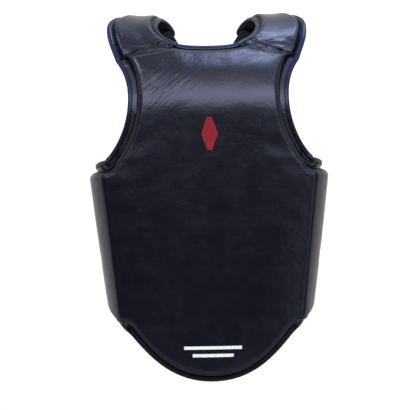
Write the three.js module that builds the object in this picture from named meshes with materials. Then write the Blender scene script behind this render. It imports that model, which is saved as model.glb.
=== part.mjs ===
// Chest protector for boxing and karate: a padded front with two side wings and two shoulder
// caps, closed behind the wearer by elastic straps, rings and hook-and-loop ends.
// Millimetres, +Z up. The wearer faces -Y, and the origin is on the axis of the wearer's torso,
// level with the lowest point of the hem.
import * as THREE from "three";

const { degToRad, lerp, smoothstep, clamp } = THREE.MathUtils;
const { sin, cos, sqrt, abs, sign, min, max, PI } = Math;
const vec = (x, y, z) => new THREE.Vector3(x, y, z);

// ---------------------------------------------------------------- driving dimensions

// Inner face of the torso seen from above, from the centre of the front to a wing's rear edge.
const FRONT_Y = -119;
const FRONT = { radius: 674, turn: degToRad(13) };
const CREASE = { radius: 3, turn: degToRad(42) };
const SIDE = { radius: 90, turn: degToRad(40) };
const REAR = { radius: 45, turn: degToRad(38) };
const TAIL = { radius: 2000, turn: degToRad(1) };
const PLAN = [FRONT, CREASE, SIDE, REAR, TAIL];

// The waist is narrower than the chest, and the top of the chest leans back.
const TAPER = { hip: 0.825, armpit: 1.02 };
const LEAN = { from: 395, to: 455, slope: Math.tan(degToRad(25)) };

// Front outline, right half, as [x, z].
const HEM = [[0, 0], [64, 0], [97, 41]];
const HIP_Z = 75;
const ARMPIT_Z = 338;
const ARMHOLE = [[124, 372], [105, 442], [140, 488]];
const NECKLINE = [[0, 509], [32, 509], [46, 513.5]];

// Wing outline as [arc length behind the crease, z].
const WING_LENGTH = arcLength(CREASE) / 2 + arcLength(SIDE) + arcLength(REAR) + arcLength(TAIL);
const WING_TOP = [[0, 336], [32, 336], [75, 320], [WING_LENGTH, 350]];
const WING_HEM = [[0, 75], [30, 92], [70, 112], [WING_LENGTH, 124]];
const WING_CORNER = 18;

// Shoulder cap edges on the lining side, from the crease over the shoulder to the rear end.
const CAP_NECK_EDGE = [[69, -57, 528], [78, -36, 545], [70, 0, 561], [57, 28, 555], [47, 50, 541]];
const CAP_ARM_EDGE = [[154, -55, 528], [154, -30, 552], [138, 4, 564], [119, 35, 554], [101, 58, 529]];
const CAP_SAG = { depth: 5, fadeAt: 1.15 }; // the sag ends before the cap's rear end
const CAP_CORNER = { length: 14, inset: 0.8 };

// Layers, as heights above the inner face.
const LINING = 1.5;
const GAP = 0.3;
const SKIN = 1.5;
const FLANGE = LINING + GAP + SKIN;
const CHEST_THICK = 25;
const NECK_THICK = { thick: 17, from: 455, to: 510 }; // the chest pad thins towards the neckline
const WING_THICK = 20;
const CAP_THICK = 12;
const COMFORT_FOAM_TOP = 12;

// Binding tape: a U folded over the edge of the cover and lining.
const TAPE = { width: 8, thick: 0.8, slot: 1.2, clear: 0.8 };

// Distances of the grid lines near an edge: the tape, the panel's edge, the foot of the pad and
// its rounded edge. Each has the share of the pad's full height that is reached there.
const EDGE_LINES = [0, 2.4, 12, 15, 23];
const CAP_LINES = [0, 2.4, 9, 11.5, 16];
const EDGE_RISE = [0, 0, 0, 0.62, 0.9];
const SEAM_LINES = [0, 0.6, 2.5, 6, 13];
const SEAM_RISE = [0, 0, 0.35, 0.7, 0.95];
const CREASE_LINES = [0, 0.25, 1.1, 4, 12];
const PANEL_FROM = 1; // first of those lines on the cover and lining
const FOAM_FROM = 3; // first of them on the foam

// Straps and their hardware.
const STRAP = { width: 50, thick: 1.8 };
const WAIST_STRAP_Z = 190;
const CROSS_RING_Z = 296;
const CROSS_RING_TILT = degToRad(28);
const CROSSING = vec(0, 106, 408);
// Knots of a cross strap as [x, z] from the crossing, where it lies flat behind the back, and the
// knots on its way there from the shoulder and on from there to the ring.
const CROSS_FLAT = [[-40, 60], [-27, 40], [-13, 19], [0, 0], [14, -12], [29, -25], [44, -38]];
const BELOW_SHOULDER = { at: [-57, -15, 92], facing: vec(-0.2, 0.93, 0.3) };
const ABOVE_RING = { at: [77, -20, -60], facing: vec(0.5, 0.86, 0.05) };
// Knots of the waist strap as [x, y], with the way its outer face looks.
const WAIST_KNOTS = [
  [-72, 66, vec(-0.6, 0.8, 0)],
  [-38, 90, vec(-0.3, 0.95, 0)],
  [0, 99, vec(0, 1, 0)],
  [38, 89, vec(0.3, 0.95, 0)],
];
const SEWN_LENGTH = 0.09; // share of a shoulder cap's length over which its strap is sewn on
const LEVEL_RUN = 14; // how far a strap keeps its direction beside its ring or its seam
const RING = { inside: [52, 12], bar: 4 };
const CHAPE = { length: 24, half: 1.5, eye: 3.9, hole: 2.6, drop: 5.9, reach: 10 };
const TOUCH_TAPE = { thick: 1.6, width: 46 };
const TAIL_OFFSET = 6.8; // from the strap's middle to the middle of the end folded back over it
const TAIL_LENGTH = 80;
const TAIL_CLEAR = 8; // from the ring's bar to the part of the end that peels
const PATCH = { half: 44, thick: 1.5, corner: 12 };
const EMBLEM = { halfWidth: 13, z: [349, 399], lift: 0.3, thick: 1 };

// ---------------------------------------------------------------- materials

const material = (color, roughness, metalness = 0) =>
  new THREE.MeshStandardMaterial({ color, roughness, metalness });
const leather = material(0x171a28, 0.38);
const bindingLeather = material(0x1b2350, 0.34);
const liningCloth = material(0x0d0d10, 0.9);
const foam = material(0x2c2c30, 0.95);
const comfortFoam = material(0xb9b4a6, 0.95);
const elastic = material(0x111114, 0.85);
const touchTape = material(0x08080a, 0.95);
const ringSteel = material(0x9a9ca2, 0.3, 0.9);
const emblemThread = material(0xb3202c, 0.6);

// ---------------------------------------------------------------- curves and surfaces

function arcLength({ radius, turn }) {
  return radius * turn;
}

const FRONT_END = arcLength(FRONT);
const CREASE_AT = FRONT_END + arcLength(CREASE) / 2;

function bezier(points, t) {
  const last = points.length - 1;
  if (last === 0) return points[0];
  const step = points.slice(0, last).map((p, i) => p.map((c, k) => lerp(c, points[i + 1][k], t)));
  return bezier(step, t);
}

// A point of the plan curve at arc length s from the centre of the front.
function planPoint(s) {
  let x = 0;
  let y = 0;
  let heading = 0;
  let left = abs(s);
  for (const arc of PLAN) {
    const run = arc === TAIL ? left : min(left, arcLength(arc));
    const next = heading + run / arc.radius;
    x += arc.radius * (sin(next) - sin(heading));
    y += arc.radius * (cos(heading) - cos(next));
    heading = next;
    left -= run;
  }
  return { x: sign(s) * x, y };
}

function taper(z) {
  return lerp(TAPER.hip, TAPER.armpit, clamp((z - HIP_Z) / (ARMPIT_Z - HIP_Z), 0, 1));
}

// How far the inner face stands back at height z: the integral of a slope that eases in.
function lean(z) {
  const span = LEAN.to - LEAN.from;
  const t = clamp((z - LEAN.from) / span, 0, 1);
  return LEAN.slope * (span * (t ** 3 - t ** 4 / 2) + max(0, z - LEAN.to));
}

function torso(s, z) {
  const { x, y } = planPoint(s);
  return vec(x * taper(z), FRONT_Y + y + lean(z), z);
}

const frontArc = (x, z) => FRONT.radius * Math.asin(x / taper(z) / FRONT.radius);
const onFront = ([x, z]) => [frontArc(x, z), z];

// Edges of the chest's right half. Its top edge is the neckline, then the shoulder crease.
const hemPath = [...HEM.map(onFront), [CREASE_AT, HIP_Z]];
const armholePath = [[FRONT_END, ARMPIT_Z], ...ARMHOLE.map(onFront)];
const neckPath = NECKLINE.map(onFront);
const shoulderPath = [neckPath.at(-1), armholePath.at(-1)];
const chestHem = (u) => bezier(hemPath, u);
const armhole = (v) => bezier(armholePath, v);

function chestTop(u) {
  if (u <= NECK_SHARE) return bezier(neckPath, u / NECK_SHARE);
  return bezier(shoulderPath, (u - NECK_SHARE) / (1 - NECK_SHARE));
}

// Grid lines crowd together beside an edge, at set distances from it, and are even beyond that.
function withEdge(lines, count, length) {
  const inner = lines.at(-1);
  const rest = Array.from({ length: count }, (_, i) => lerp(inner, length, (i + 1) / count));
  return [...lines, ...rest];
}

const EDGE_CELLS = EDGE_LINES.length - 1;
const CHEST_COLUMNS = 4;
const CHEST_LOWER_ROWS = 5;
const CHEST_UPPER_ROWS = 6;
const ARMPIT_BAND = 14; // the last lower row, in which the armhole's flange begins
const ARMPIT_ROW = EDGE_CELLS + CHEST_LOWER_ROWS;

// The corner between neckline and shoulder crease stands on a grid column.
const topColumns = withEdge(EDGE_LINES, CHEST_COLUMNS, armhole(1)[0]);
const NECK_FROM = topColumns.length - 3;
const NECK_SHARE = 1 - topColumns[NECK_FROM] / armhole(1)[0] + 1e-9;

function chestPoint(column, row) {
  const half = EDGE_CELLS + CHEST_COLUMNS;
  const side = sign(column - half);
  const fromSide = half - abs(column - half);
  const isLower = row <= ARMPIT_ROW;
  const upperRows = EDGE_CELLS + CHEST_UPPER_ROWS;
  // A first guess of v gives the half width, and the half width gives the column's place.
  const along = min(1, (row - ARMPIT_ROW) / CHEST_UPPER_ROWS);
  const sideLines = isLower ? CREASE_LINES : EDGE_LINES;
  const halfWidth = isLower ? CREASE_AT : armhole(along)[0];
  const u = 1 - withEdge(sideLines, CHEST_COLUMNS, halfWidth)[fromSide] / halfWidth;
  if (isLower) {
    const [hemS, hemZ] = chestHem(u);
    const height = ARMPIT_Z - hemZ;
    const even = withEdge(EDGE_LINES, CHEST_LOWER_ROWS - 1, height - ARMPIT_BAND);
    const v = [...even, height][row] / height;
    return [side * lerp(hemS, u * CREASE_AT, v), lerp(hemZ, ARMPIT_Z, v)];
  }
  const [topS, topZ] = chestTop(u);
  const lines = u <= NECK_SHARE ? EDGE_LINES : SEAM_LINES;
  const fromTop = upperRows - (row - ARMPIT_ROW);
  const v = 1 - withEdge(lines, CHEST_UPPER_ROWS, topZ - ARMPIT_Z)[fromTop] / (topZ - ARMPIT_Z);
  const [sideS, sideZ] = armhole(v);
  const [cornerS, cornerZ] = shoulderPath[1];
  return [
    side * (lerp(u * FRONT_END, topS, v) + u * (sideS - lerp(FRONT_END, cornerS, v))),
    lerp(ARMPIT_Z, topZ, v) + u * (sideZ - lerp(ARMPIT_Z, cornerZ, v)),
  ];
}

// Wing grid: columns run from the crease to the rear edge, rows from the hem to the top.
const WING_COLUMNS = 3;
const WING_ROWS = 3;

function wingPoint(column, row) {
  const toCrease = CREASE_LINES.slice(PANEL_FROM, FOAM_FROM + 1);
  const fromRear = withEdge(EDGE_LINES, WING_COLUMNS, WING_LENGTH - toCrease.at(-1));
  const columns = [...toCrease, ...fromRear.slice(0, -1).reverse().map((d) => WING_LENGTH - d)];
  const along = columns[column];
  const t = along / WING_LENGTH;
  const beyond = clamp((along - WING_LENGTH + WING_CORNER) / WING_CORNER, 0, 1);
  const round = WING_CORNER * (1 - sqrt(1 - beyond ** 2));
  const low = bezier(WING_HEM, t)[1] + round;
  const high = bezier(WING_TOP, t)[1] - round;
  const middle = (low + high) / 2;
  const rows = withEdge(EDGE_LINES, WING_ROWS, middle - low);
  const last = 2 * (rows.length - 1);
  const z = row <= last / 2 ? low + rows[row] : high - rows[last - row];
  return [CREASE_AT + along, z];
}

// Shoulder cap: a ruled surface between its neck edge and its arm edge, with a sagging middle.
const CAP_ROWS = 7;
const CAP_COLUMNS = 1;
const creaseNeckEnd = torso(...shoulderPath[0]);
const creaseArmEnd = torso(...shoulderPath[1]);
const capCurve = (start, rest) =>
  new THREE.CatmullRomCurve3([start, ...rest.map((p) => vec(...p))], false, "centripetal");
const neckEdge = capCurve(creaseNeckEnd, CAP_NECK_EDGE);
const armEdge = capCurve(creaseArmEnd, CAP_ARM_EDGE);

function cap(across, along) {
  const t = clamp(along, 0, 1);
  const point = neckEdge.getPointAt(t).lerp(armEdge.getPointAt(t), across);
  const { depth, fadeAt } = CAP_SAG;
  point.z -= depth * 4 * across * (1 - across) * sin(PI * min(1, t * fadeAt));
  return point;
}

function capPoint(column, row) {
  const length = (neckEdge.getLength() + armEdge.getLength()) / 2;
  const fromEnd = withEdge(CAP_LINES, CAP_ROWS, length - SEAM_LINES.at(-1));
  const fromCrease = SEAM_LINES;
  const rows = [...fromCrease, ...fromEnd.slice(0, -1).reverse().map((d) => length - d)];
  const along = rows[row] / length;
  const width = neckEdge.getPointAt(along).distanceTo(armEdge.getPointAt(along));
  const beyond = clamp((rows[row] - length) / CAP_CORNER.length + 1, 0, 1);
  const round = CAP_CORNER.length * CAP_CORNER.inset * (1 - sqrt(1 - beyond ** 2));
  const half = withEdge(CAP_LINES, CAP_COLUMNS, width / 2 - round);
  const last = 2 * (half.length - 1);
  const inset = column <= last / 2 ? half[column] : half[last - column];
  const across = column <= last / 2 ? (round + inset) / width : 1 - (round + inset) / width;
  return [across, along];
}

// ---------------------------------------------------------------- panels

// A panel is a grid on a surface, with a point and an outward normal at each crossing.
function makePanel(columns, rows, surface, place) {
  const nudge = 1e-3;
  const panel = { columns, rows, points: [], normals: [] };
  for (let i = 0; i <= columns; i++) {
    for (let j = 0; j <= rows; j++) {
      const [a, b] = place(i, j);
      const point = surface(a, b);
      const da = surface(a + nudge, b).sub(surface(a - nudge, b));
      const db = surface(a, b + nudge).sub(surface(a, b - nudge));
      panel.points.push(point);
      panel.normals.push(da.cross(db).normalize());
    }
  }
  panel.index = (i, j) => i * (rows + 1) + j;
  panel.at = (i, j, height) => {
    const k = panel.index(i, j);
    return panel.points[k].clone().addScaledVector(panel.normals[k], height);
  };
  return panel;
}

// Grid points along an edge of a panel, or so many lines in from it. "low" and "high" are the
// first and last rows, "first" and "last" the first and last columns.
function edgeOf(panel, which, lines = 0) {
  const { columns, rows } = panel;
  const count = which === "low" || which === "high" ? columns : rows;
  const pick = {
    low: (k) => [k, lines],
    high: (k) => [k, rows - lines],
    first: (k) => [lines, k],
    last: (k) => [columns - lines, k],
  }[which];
  return Array.from({ length: count + 1 }, (_, k) => pick(k));
}

// Outer heights of a pad over its grid. "edges" gives, for a grid point, its number of lines
// from each edge with that edge's rise; "thick" gives the pad's full height.
function padHeights(panel, edges, thick) {
  const heights = [];
  for (let i = 0; i <= panel.columns; i++) {
    for (let j = 0; j <= panel.rows; j++) {
      const share = min(...edges(i, j).map(([lines, rise]) => rise[lines] ?? 1));
      heights.push(lerp(FLANGE, thick(i, j), share));
    }
  }
  return heights;
}

// A closed solid between two heights over part of a panel's grid.
function slab(panel, [i0, i1], [j0, j1], low, high) {
  const points = [];
  const indices = [];
  const index = (i, j, top) => 2 * ((i - i0) * (j1 - j0 + 1) + j - j0) + top;
  const quad = (a, b, c, d) => indices.push(a, b, c, a, c, d);
  for (let i = i0; i <= i1; i++) {
    for (let j = j0; j <= j1; j++) {
      const k = panel.index(i, j);
      points.push(panel.at(i, j, low(k)), panel.at(i, j, high(k)));
    }
  }
  for (let i = i0; i < i1; i++) {
    for (let j = j0; j < j1; j++) {
      quad(index(i, j, 1), index(i + 1, j, 1), index(i + 1, j + 1, 1), index(i, j + 1, 1));
      quad(index(i, j, 0), index(i, j + 1, 0), index(i + 1, j + 1, 0), index(i + 1, j, 0));
    }
    quad(index(i, j0, 0), index(i + 1, j0, 0), index(i + 1, j0, 1), index(i, j0, 1));
    quad(index(i, j1, 0), index(i, j1, 1), index(i + 1, j1, 1), index(i + 1, j1, 0));
  }
  for (let j = j0; j < j1; j++) {
    quad(index(i0, j, 0), index(i0, j, 1), index(i0, j + 1, 1), index(i0, j + 1, 0));
    quad(index(i1, j, 0), index(i1, j + 1, 0), index(i1, j + 1, 1), index(i1, j, 1));
  }
  return solid(points, indices);
}

function solid(points, indices) {
  const geometry = new THREE.BufferGeometry().setFromPoints(points);
  geometry.setIndex(indices);
  geometry.computeVertexNormals();
  return geometry;
}

// A closed solid through a row of rings, each a list of points in the same order.
function loft(rings, outline) {
  const size = outline.length;
  const faces = THREE.ShapeUtils.triangulateShape(outline, []);
  const indices = [];
  const end = (rings.length - 1) * size;
  for (let r = 0; r + 1 < rings.length; r++) {
    for (let k = 0; k < size; k++) {
      const a = r * size + k;
      const b = r * size + ((k + 1) % size);
      indices.push(a, b, b + size, a, b + size, a + size);
    }
  }
  for (const [a, b, c] of faces) indices.push(a, c, b, end + a, end + b, end + c);
  return solid(rings.flat(), indices);
}

// Binding tape on part of a panel's edge, folded over it. The section is drawn with x pointing
// into the panel and y along the outward normal, and each ring lies along a grid line.
function binding(panel, which, from, to) {
  const { width, thick, slot, clear } = TAPE;
  const low = -clear;
  const high = FLANGE + clear;
  const outline = [
    [width, low], [slot, low], [slot, high], [width, high],
    [width, high + thick], [0, high + thick], [0, low - thick], [width, low - thick],
  ].map(([x, y]) => new THREE.Vector2(x, y));
  const inner = edgeOf(panel, which, 2);
  const path = edgeOf(panel, which);
  const rings = [];
  for (let k = from; k <= to; k++) {
    const edge = panel.at(...path[k], 0);
    const normal = panel.normals[panel.index(...path[k])];
    const inward = panel.at(...inner[k], 0).sub(edge).projectOnPlane(normal).normalize();
    rings.push(
      outline.map((p) =>
        edge.clone().addScaledVector(inward, p.x).addScaledVector(normal, p.y),
      ),
    );
  }
  const runsBack = which === "high" || which === "first";
  return loft(runsBack ? rings.reverse() : rings, outline);
}

const mesh = (name, geometry, look) => {
  const made = new THREE.Mesh(geometry, look);
  made.name = name;
  return made;
};

// ---------------------------------------------------------------- chest

const CHEST_SIZE = [
  2 * (EDGE_CELLS + CHEST_COLUMNS),
  2 * EDGE_CELLS + CHEST_LOWER_ROWS + CHEST_UPPER_ROWS,
];
const WING_SIZE = [FOAM_FROM - PANEL_FROM + WING_COLUMNS + EDGE_CELLS, 2 * (EDGE_CELLS + WING_ROWS)];
const CAP_SIZE = [2 * (EDGE_CELLS + CAP_COLUMNS), 2 * EDGE_CELLS + CAP_ROWS];

const chest = makePanel(...CHEST_SIZE, torso, chestPoint);
const wing = makePanel(...WING_SIZE, torso, wingPoint);
const shoulder = makePanel(...CAP_SIZE, cap, capPoint);

const chestHeights = padHeights(
  chest,
  (i, j) => {
    const fromSide = min(i, chest.columns - i);
    const top = fromSide >= NECK_FROM ? EDGE_RISE : SEAM_RISE;
    const around = [[j, EDGE_RISE], [chest.rows - j, top]];
    if (j >= ARMPIT_ROW) around.push([fromSide, EDGE_RISE]);
    return around;
  },
  (i, j) => {
    const { z } = chest.points[chest.index(i, j)];
    return lerp(CHEST_THICK, NECK_THICK.thick, smoothstep(z, NECK_THICK.from, NECK_THICK.to));
  },
);
const wingHeights = padHeights(
  wing,
  (i, j) => [[j, EDGE_RISE], [wing.rows - j, EDGE_RISE], [wing.columns - i, EDGE_RISE]],
  (i) => lerp(CHEST_THICK, WING_THICK, smoothstep(i, 0, 4)),
);
const capHeights = padHeights(
  shoulder,
  (i, j) => [
    [i, EDGE_RISE], [shoulder.columns - i, EDGE_RISE], [shoulder.rows - j, EDGE_RISE], [j, SEAM_RISE],
  ],
  () => CAP_THICK,
);

// The cover, foam and lining of a panel share its grid, so that their facets stay parallel.
function layers(panel, heights, columns, rows, foamColumns, foamRows, names) {
  const outer = (k) => heights[k];
  const inner = (k) => heights[k] - SKIN;
  const foamTop = (k) => inner(k) - GAP;
  const foamFoot = () => FLANGE + GAP;
  const made = [
    mesh(names.cover, slab(panel, columns, rows, inner, outer), leather),
    mesh(names.lining, slab(panel, columns, rows, () => 0, () => LINING), liningCloth),
  ];
  if (names.comfort) {
    const split = (k) => min(COMFORT_FOAM_TOP, (foamFoot() + foamTop(k)) / 2);
    made.push(
      mesh(names.comfort, slab(panel, foamColumns, foamRows, foamFoot, split), comfortFoam),
      mesh(names.foam, slab(panel, foamColumns, foamRows, (k) => split(k) + GAP, foamTop), foam),
    );
  } else {
    made.push(mesh(names.foam, slab(panel, foamColumns, foamRows, foamFoot, foamTop), foam));
  }
  return made;
}

function chestGroup() {
  const [columns, rows] = CHEST_SIZE;
  const group = new THREE.Group();
  group.add(
    ...layers(
      chest,
      chestHeights,
      [PANEL_FROM, columns - PANEL_FROM],
      [PANEL_FROM, rows - PANEL_FROM],
      [FOAM_FROM, columns - FOAM_FROM],
      [FOAM_FROM, rows - FOAM_FROM],
      {
        cover: "chest_cover",
        lining: "chest_lining",
        foam: "chest_shock_foam",
        comfort: "chest_comfort_foam",
      },
    ),
  );
  const tape = (name, ...place) => group.add(mesh(name, binding(chest, ...place), bindingLeather));
  tape("hem_binding", "low", FOAM_FROM, columns - FOAM_FROM);
  tape("neckline_binding", "high", NECK_FROM, columns - NECK_FROM);
  tape("armhole_binding_left", "first", ARMPIT_ROW + 1, rows - 1);
  tape("armhole_binding_right", "last", ARMPIT_ROW + 1, rows - 1);
  group.add(emblem());
  return group;
}

function emblem() {
  const { halfWidth, z, lift, thick } = EMBLEM;
  const panel = makePanel(2, 6, torso, (i, j) => [(i - 1) * halfWidth, lerp(...z, j / 6)]);
  const foot = CHEST_THICK + lift;
  const geometry = slab(panel, [0, 2], [0, 6], () => foot, () => foot + thick);
  return mesh("emblem_patch", geometry, emblemThread);
}

// ---------------------------------------------------------------- shoulder cap and wing

function shoulderGroup(side) {
  const [columns, rows] = CAP_SIZE;
  const name = (part) => `shoulder_${part}_${side}`;
  const group = new THREE.Group();
  group.add(
    ...layers(
      shoulder,
      capHeights,
      [PANEL_FROM, columns - PANEL_FROM],
      [PANEL_FROM, rows - PANEL_FROM],
      [FOAM_FROM, columns - FOAM_FROM],
      [FOAM_FROM, rows - FOAM_FROM],
      { cover: name("cover"), lining: name("lining"), foam: name("foam") },
    ),
  );
  const tape = (part, ...place) =>
    group.add(mesh(name(part), binding(shoulder, ...place), bindingLeather));
  tape("neck_binding", "first", FOAM_FROM, rows - 2);
  tape("arm_binding", "last", FOAM_FROM, rows - 2);
  tape("end_binding", "high", 2, columns - 2);
  return group;
}

function wingGroup(side) {
  const [columns, rows] = WING_SIZE;
  const name = (part) => `wing_${part}_${side}`;
  const group = new THREE.Group();
  const tape = (part, ...place) =>
    group.add(mesh(name(part), binding(wing, ...place), bindingLeather));
  group.add(
    ...layers(
      wing,
      wingHeights,
      [0, columns - PANEL_FROM],
      [PANEL_FROM, rows - PANEL_FROM],
      [0, columns - FOAM_FROM],
      [FOAM_FROM, rows - FOAM_FROM],
      { cover: name("cover"), lining: name("lining"), foam: name("foam") },
    ),
  );
  tape("hem_binding", "low", 2, columns - 1);
  tape("top_binding", "high", 2, columns - 1);
  tape("rear_binding", "last", 2, rows - 2);
  group.add(chape(`cross_strap_chape_${side}`, CROSS_RING_Z, CROSS_RING_TILT));
  return group;
}

// ---------------------------------------------------------------- rings and chapes

// The frame at a wing's rear edge: "out" points to the back of the wearer, tilted up by tilt,
// "across" lies along the edge and "normal" points away from the wearer.
function edgeFrame(z, tilt) {
  const end = CREASE_AT + WING_LENGTH;
  const origin = torso(end, z);
  const back = torso(end, z).sub(torso(end - 1, z)).normalize();
  const up = torso(end, z + 1).sub(torso(end, z - 1)).normalize();
  const normal = back.clone().cross(up).normalize();
  const out = back.multiplyScalar(cos(tilt)).addScaledVector(up, sin(tilt)).normalize();
  const across = normal.clone().cross(out);
  return { origin, out, across, normal };
}

// Stands a shape drawn in (out, normal) on a wing's edge and pulls it along "across".
function onEdge(shape, depth, { origin, out, across, normal }) {
  const geometry = new THREE.ExtrudeGeometry(shape, { depth, bevelEnabled: false, curveSegments: 8 });
  geometry.translate(0, 0, -depth / 2);
  const turn = new THREE.Matrix4().makeBasis(out, normal, across.clone().negate());
  geometry.applyMatrix4(turn);
  geometry.translate(...origin.toArray());
  return geometry;
}

// Folded webbing sewn to the lining side of a wing, with an eye that holds a ring.
function chape(name, z, tilt) {
  const { length, half, eye, hole, drop, reach } = CHAPE;
  const foot = sqrt(eye ** 2 - half ** 2);
  const open = Math.asin(half / eye);
  const shape = new THREE.Shape();
  shape.moveTo(-length, -drop - half);
  shape.lineTo(reach - foot, -drop - half);
  shape.absarc(reach, -drop, eye, PI + open, PI - open, false);
  shape.lineTo(-length, -drop + half);
  shape.closePath();
  shape.holes.push(new THREE.Path().absarc(reach, -drop, hole, 0, 2 * PI, true));
  return mesh(name, onEdge(shape, STRAP.width, edgeFrame(z, tilt)), elastic);
}

function ring(name, z, tilt) {
  const [width, height] = RING.inside;
  const { bar } = RING;
  const frame = edgeFrame(z, tilt);
  const rounded = (w, h, r) => {
    const shape = new THREE.Shape();
    shape.absarc(w / 2 - r, h / 2 - r, r, 0, PI / 2, false);
    shape.absarc(-w / 2 + r, h / 2 - r, r, PI / 2, PI, false);
    shape.absarc(-w / 2 + r, -h / 2 + r, r, PI, 1.5 * PI, false);
    shape.absarc(w / 2 - r, -h / 2 + r, r, 1.5 * PI, 2 * PI, false);
    return shape;
  };
  const shape = rounded(height + 2 * bar, width + 2 * bar, bar);
  shape.holes.push(rounded(height, width, 1));
  const bevel = bar / 4;
  const geometry = new THREE.ExtrudeGeometry(shape, {
    depth: bar - 2 * bevel,
    bevelThickness: bevel,
    bevelSize: bevel,
    bevelOffset: -bevel,
    bevelSegments: 1,
    curveSegments: 3,
  });
  geometry.translate(CHAPE.reach + bar / 2 + height / 2, 0, bevel - bar / 2 - CHAPE.drop);
  geometry.applyMatrix4(new THREE.Matrix4().makeBasis(frame.out, frame.across, frame.normal));
  geometry.translate(...frame.origin.toArray());
  return mesh(name, geometry, ringSteel);
}

// ---------------------------------------------------------------- straps

// A strap's path: points with the direction that its outer face looks in.
function strapPath(knots) {
  const line = new THREE.CatmullRomCurve3(knots.map(([p]) => p), false, "centripetal");
  const facing = new THREE.CatmullRomCurve3(knots.map(([, n]) => n), false, "centripetal");
  return { line, facing, length: line.getLength() };
}

// All ribbons on one path bend at the same stations, so that they stay parallel.
const STATION = 14;

// A flat ribbon along part of a path, "from" and "to" in mm, lifted off it along its facing.
function ribbon(path, { from, to, lift = 0, width = STRAP.width, thick = STRAP.thick, extra = [] }) {
  const outline = [
    [-width / 2, -thick / 2], [width / 2, -thick / 2], [width / 2, thick / 2], [-width / 2, thick / 2],
  ].map(([x, y]) => new THREE.Vector2(x, y));
  const between = Array.from({ length: Math.ceil(path.length / STATION) }, (_, k) => k * STATION);
  const places = [from, ...between.filter((d) => d > from + 1 && d < to - 1), to];
  const stations = places.map((place) => {
    const t = place / path.length;
    const u = path.line.getUtoTmapping(t, 0);
    const tangent = path.line.getTangent(u);
    const normal = path.facing.getPoint(u).projectOnPlane(tangent).normalize();
    return { point: path.line.getPoint(u).addScaledVector(normal, lift), tangent, normal };
  });
  const rings = [...stations, ...extra].map(({ point, tangent, normal }) => {
    const across = normal.clone().cross(tangent);
    return outline.map((p) =>
      point.clone().addScaledVector(across, p.x).addScaledVector(normal, p.y),
    );
  });
  return loft(rings, outline);
}

// The turn of a strap around a ring's free bar, from its inner side to its outer side.
const WRAP_RADIUS = TAIL_OFFSET / 2;

function wrap({ origin, out, normal }) {
  const bar = CHAPE.reach + RING.inside[1] + RING.bar;
  const center = origin.clone().addScaledVector(out, bar).addScaledVector(normal, -CHAPE.drop);
  const steps = 6;
  return Array.from({ length: steps }, (_, k) => {
    const angle = (PI * (k + 1)) / steps;
    const away = normal.clone().multiplyScalar(-cos(angle)).addScaledVector(out, -sin(angle));
    return {
      point: center.clone().addScaledVector(away, WRAP_RADIUS),
      tangent: out.clone().multiplyScalar(-cos(angle)).addScaledVector(normal, sin(angle)),
      normal: away.clone().negate(),
    };
  });
}

// A knot on a ring's frame: so far out along it, on the inner side of the free bar.
const barKnot = ({ origin, out, normal }, reach) => [
  origin.clone().addScaledVector(out, reach).addScaledVector(normal, -CHAPE.drop - WRAP_RADIUS),
  normal.clone(),
];
const BAR_REACH = CHAPE.reach + RING.inside[1] + RING.bar;

// A cross strap goes from the left shoulder cap's rear end, past the crossing, to the right wing.
// The two straps lie at different levels where they cross.
const SEWN_UNDER = -2 * TAPE.clear - TAPE.thick - 3 * GAP - STRAP.thick / 2;
const LEVEL_STEP = STRAP.thick + 2 * GAP;

function crossStrap(level) {
  const frame = edgeFrame(CROSS_RING_Z, CROSS_RING_TILT);
  const middle = CROSSING.clone().add(vec(0, level * LEVEL_STEP, 0));
  const back = vec(0, 1, 0);
  const beside = ({ at, facing }) => [middle.clone().add(vec(...at)), facing];
  const underCap = (along, reach = 0) => {
    const step = 0.01;
    const across = cap(0.5 + step, along).sub(cap(0.5 - step, along));
    const rearward = cap(0.5, along).sub(cap(0.5, along - step)).normalize();
    const normal = across.cross(rearward).normalize();
    const point = cap(0.5, along).addScaledVector(normal, SEWN_UNDER);
    point.addScaledVector(rearward, reach);
    return [vec(-point.x, point.y, point.z), vec(-normal.x, normal.y, normal.z)];
  };
  const path = strapPath([
    underCap(1 - SEWN_LENGTH),
    underCap(1),
    underCap(1, 8),
    beside(BELOW_SHOULDER),
    ...CROSS_FLAT.map(([x, z]) => [middle.clone().add(vec(x, 0, z)), back]),
    beside(ABOVE_RING),
    barKnot(frame, BAR_REACH + LEVEL_RUN),
    barKnot(frame, BAR_REACH),
  ]);
  return { path, crossing: crossingLength(path) };
}

// Length along a path at which it passes x = 0.
function crossingLength({ line, length }) {
  let low = 0;
  let high = 1;
  for (let k = 0; k < 30; k++) {
    const middle = (low + high) / 2;
    if (line.getPointAt(middle).x < 0) low = middle;
    else high = middle;
  }
  return low * length;
}

function waistPath() {
  const right = edgeFrame(WAIST_STRAP_Z, 0);
  const { origin, out, normal } = right;
  const sewn = (reach) => {
    const point = origin.clone().addScaledVector(out, reach);
    point.addScaledVector(normal, SEWN_UNDER);
    return [vec(-point.x, point.y, point.z), vec(-normal.x, normal.y, normal.z)];
  };
  return strapPath([
    sewn(-CHAPE.length),
    sewn(0),
    sewn(LEVEL_RUN),
    ...WAIST_KNOTS.map(([x, y, facing]) => [vec(x, y, WAIST_STRAP_Z), facing]),
    barKnot(right, BAR_REACH + LEVEL_RUN),
    barKnot(right, BAR_REACH),
  ]);
}

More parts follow.
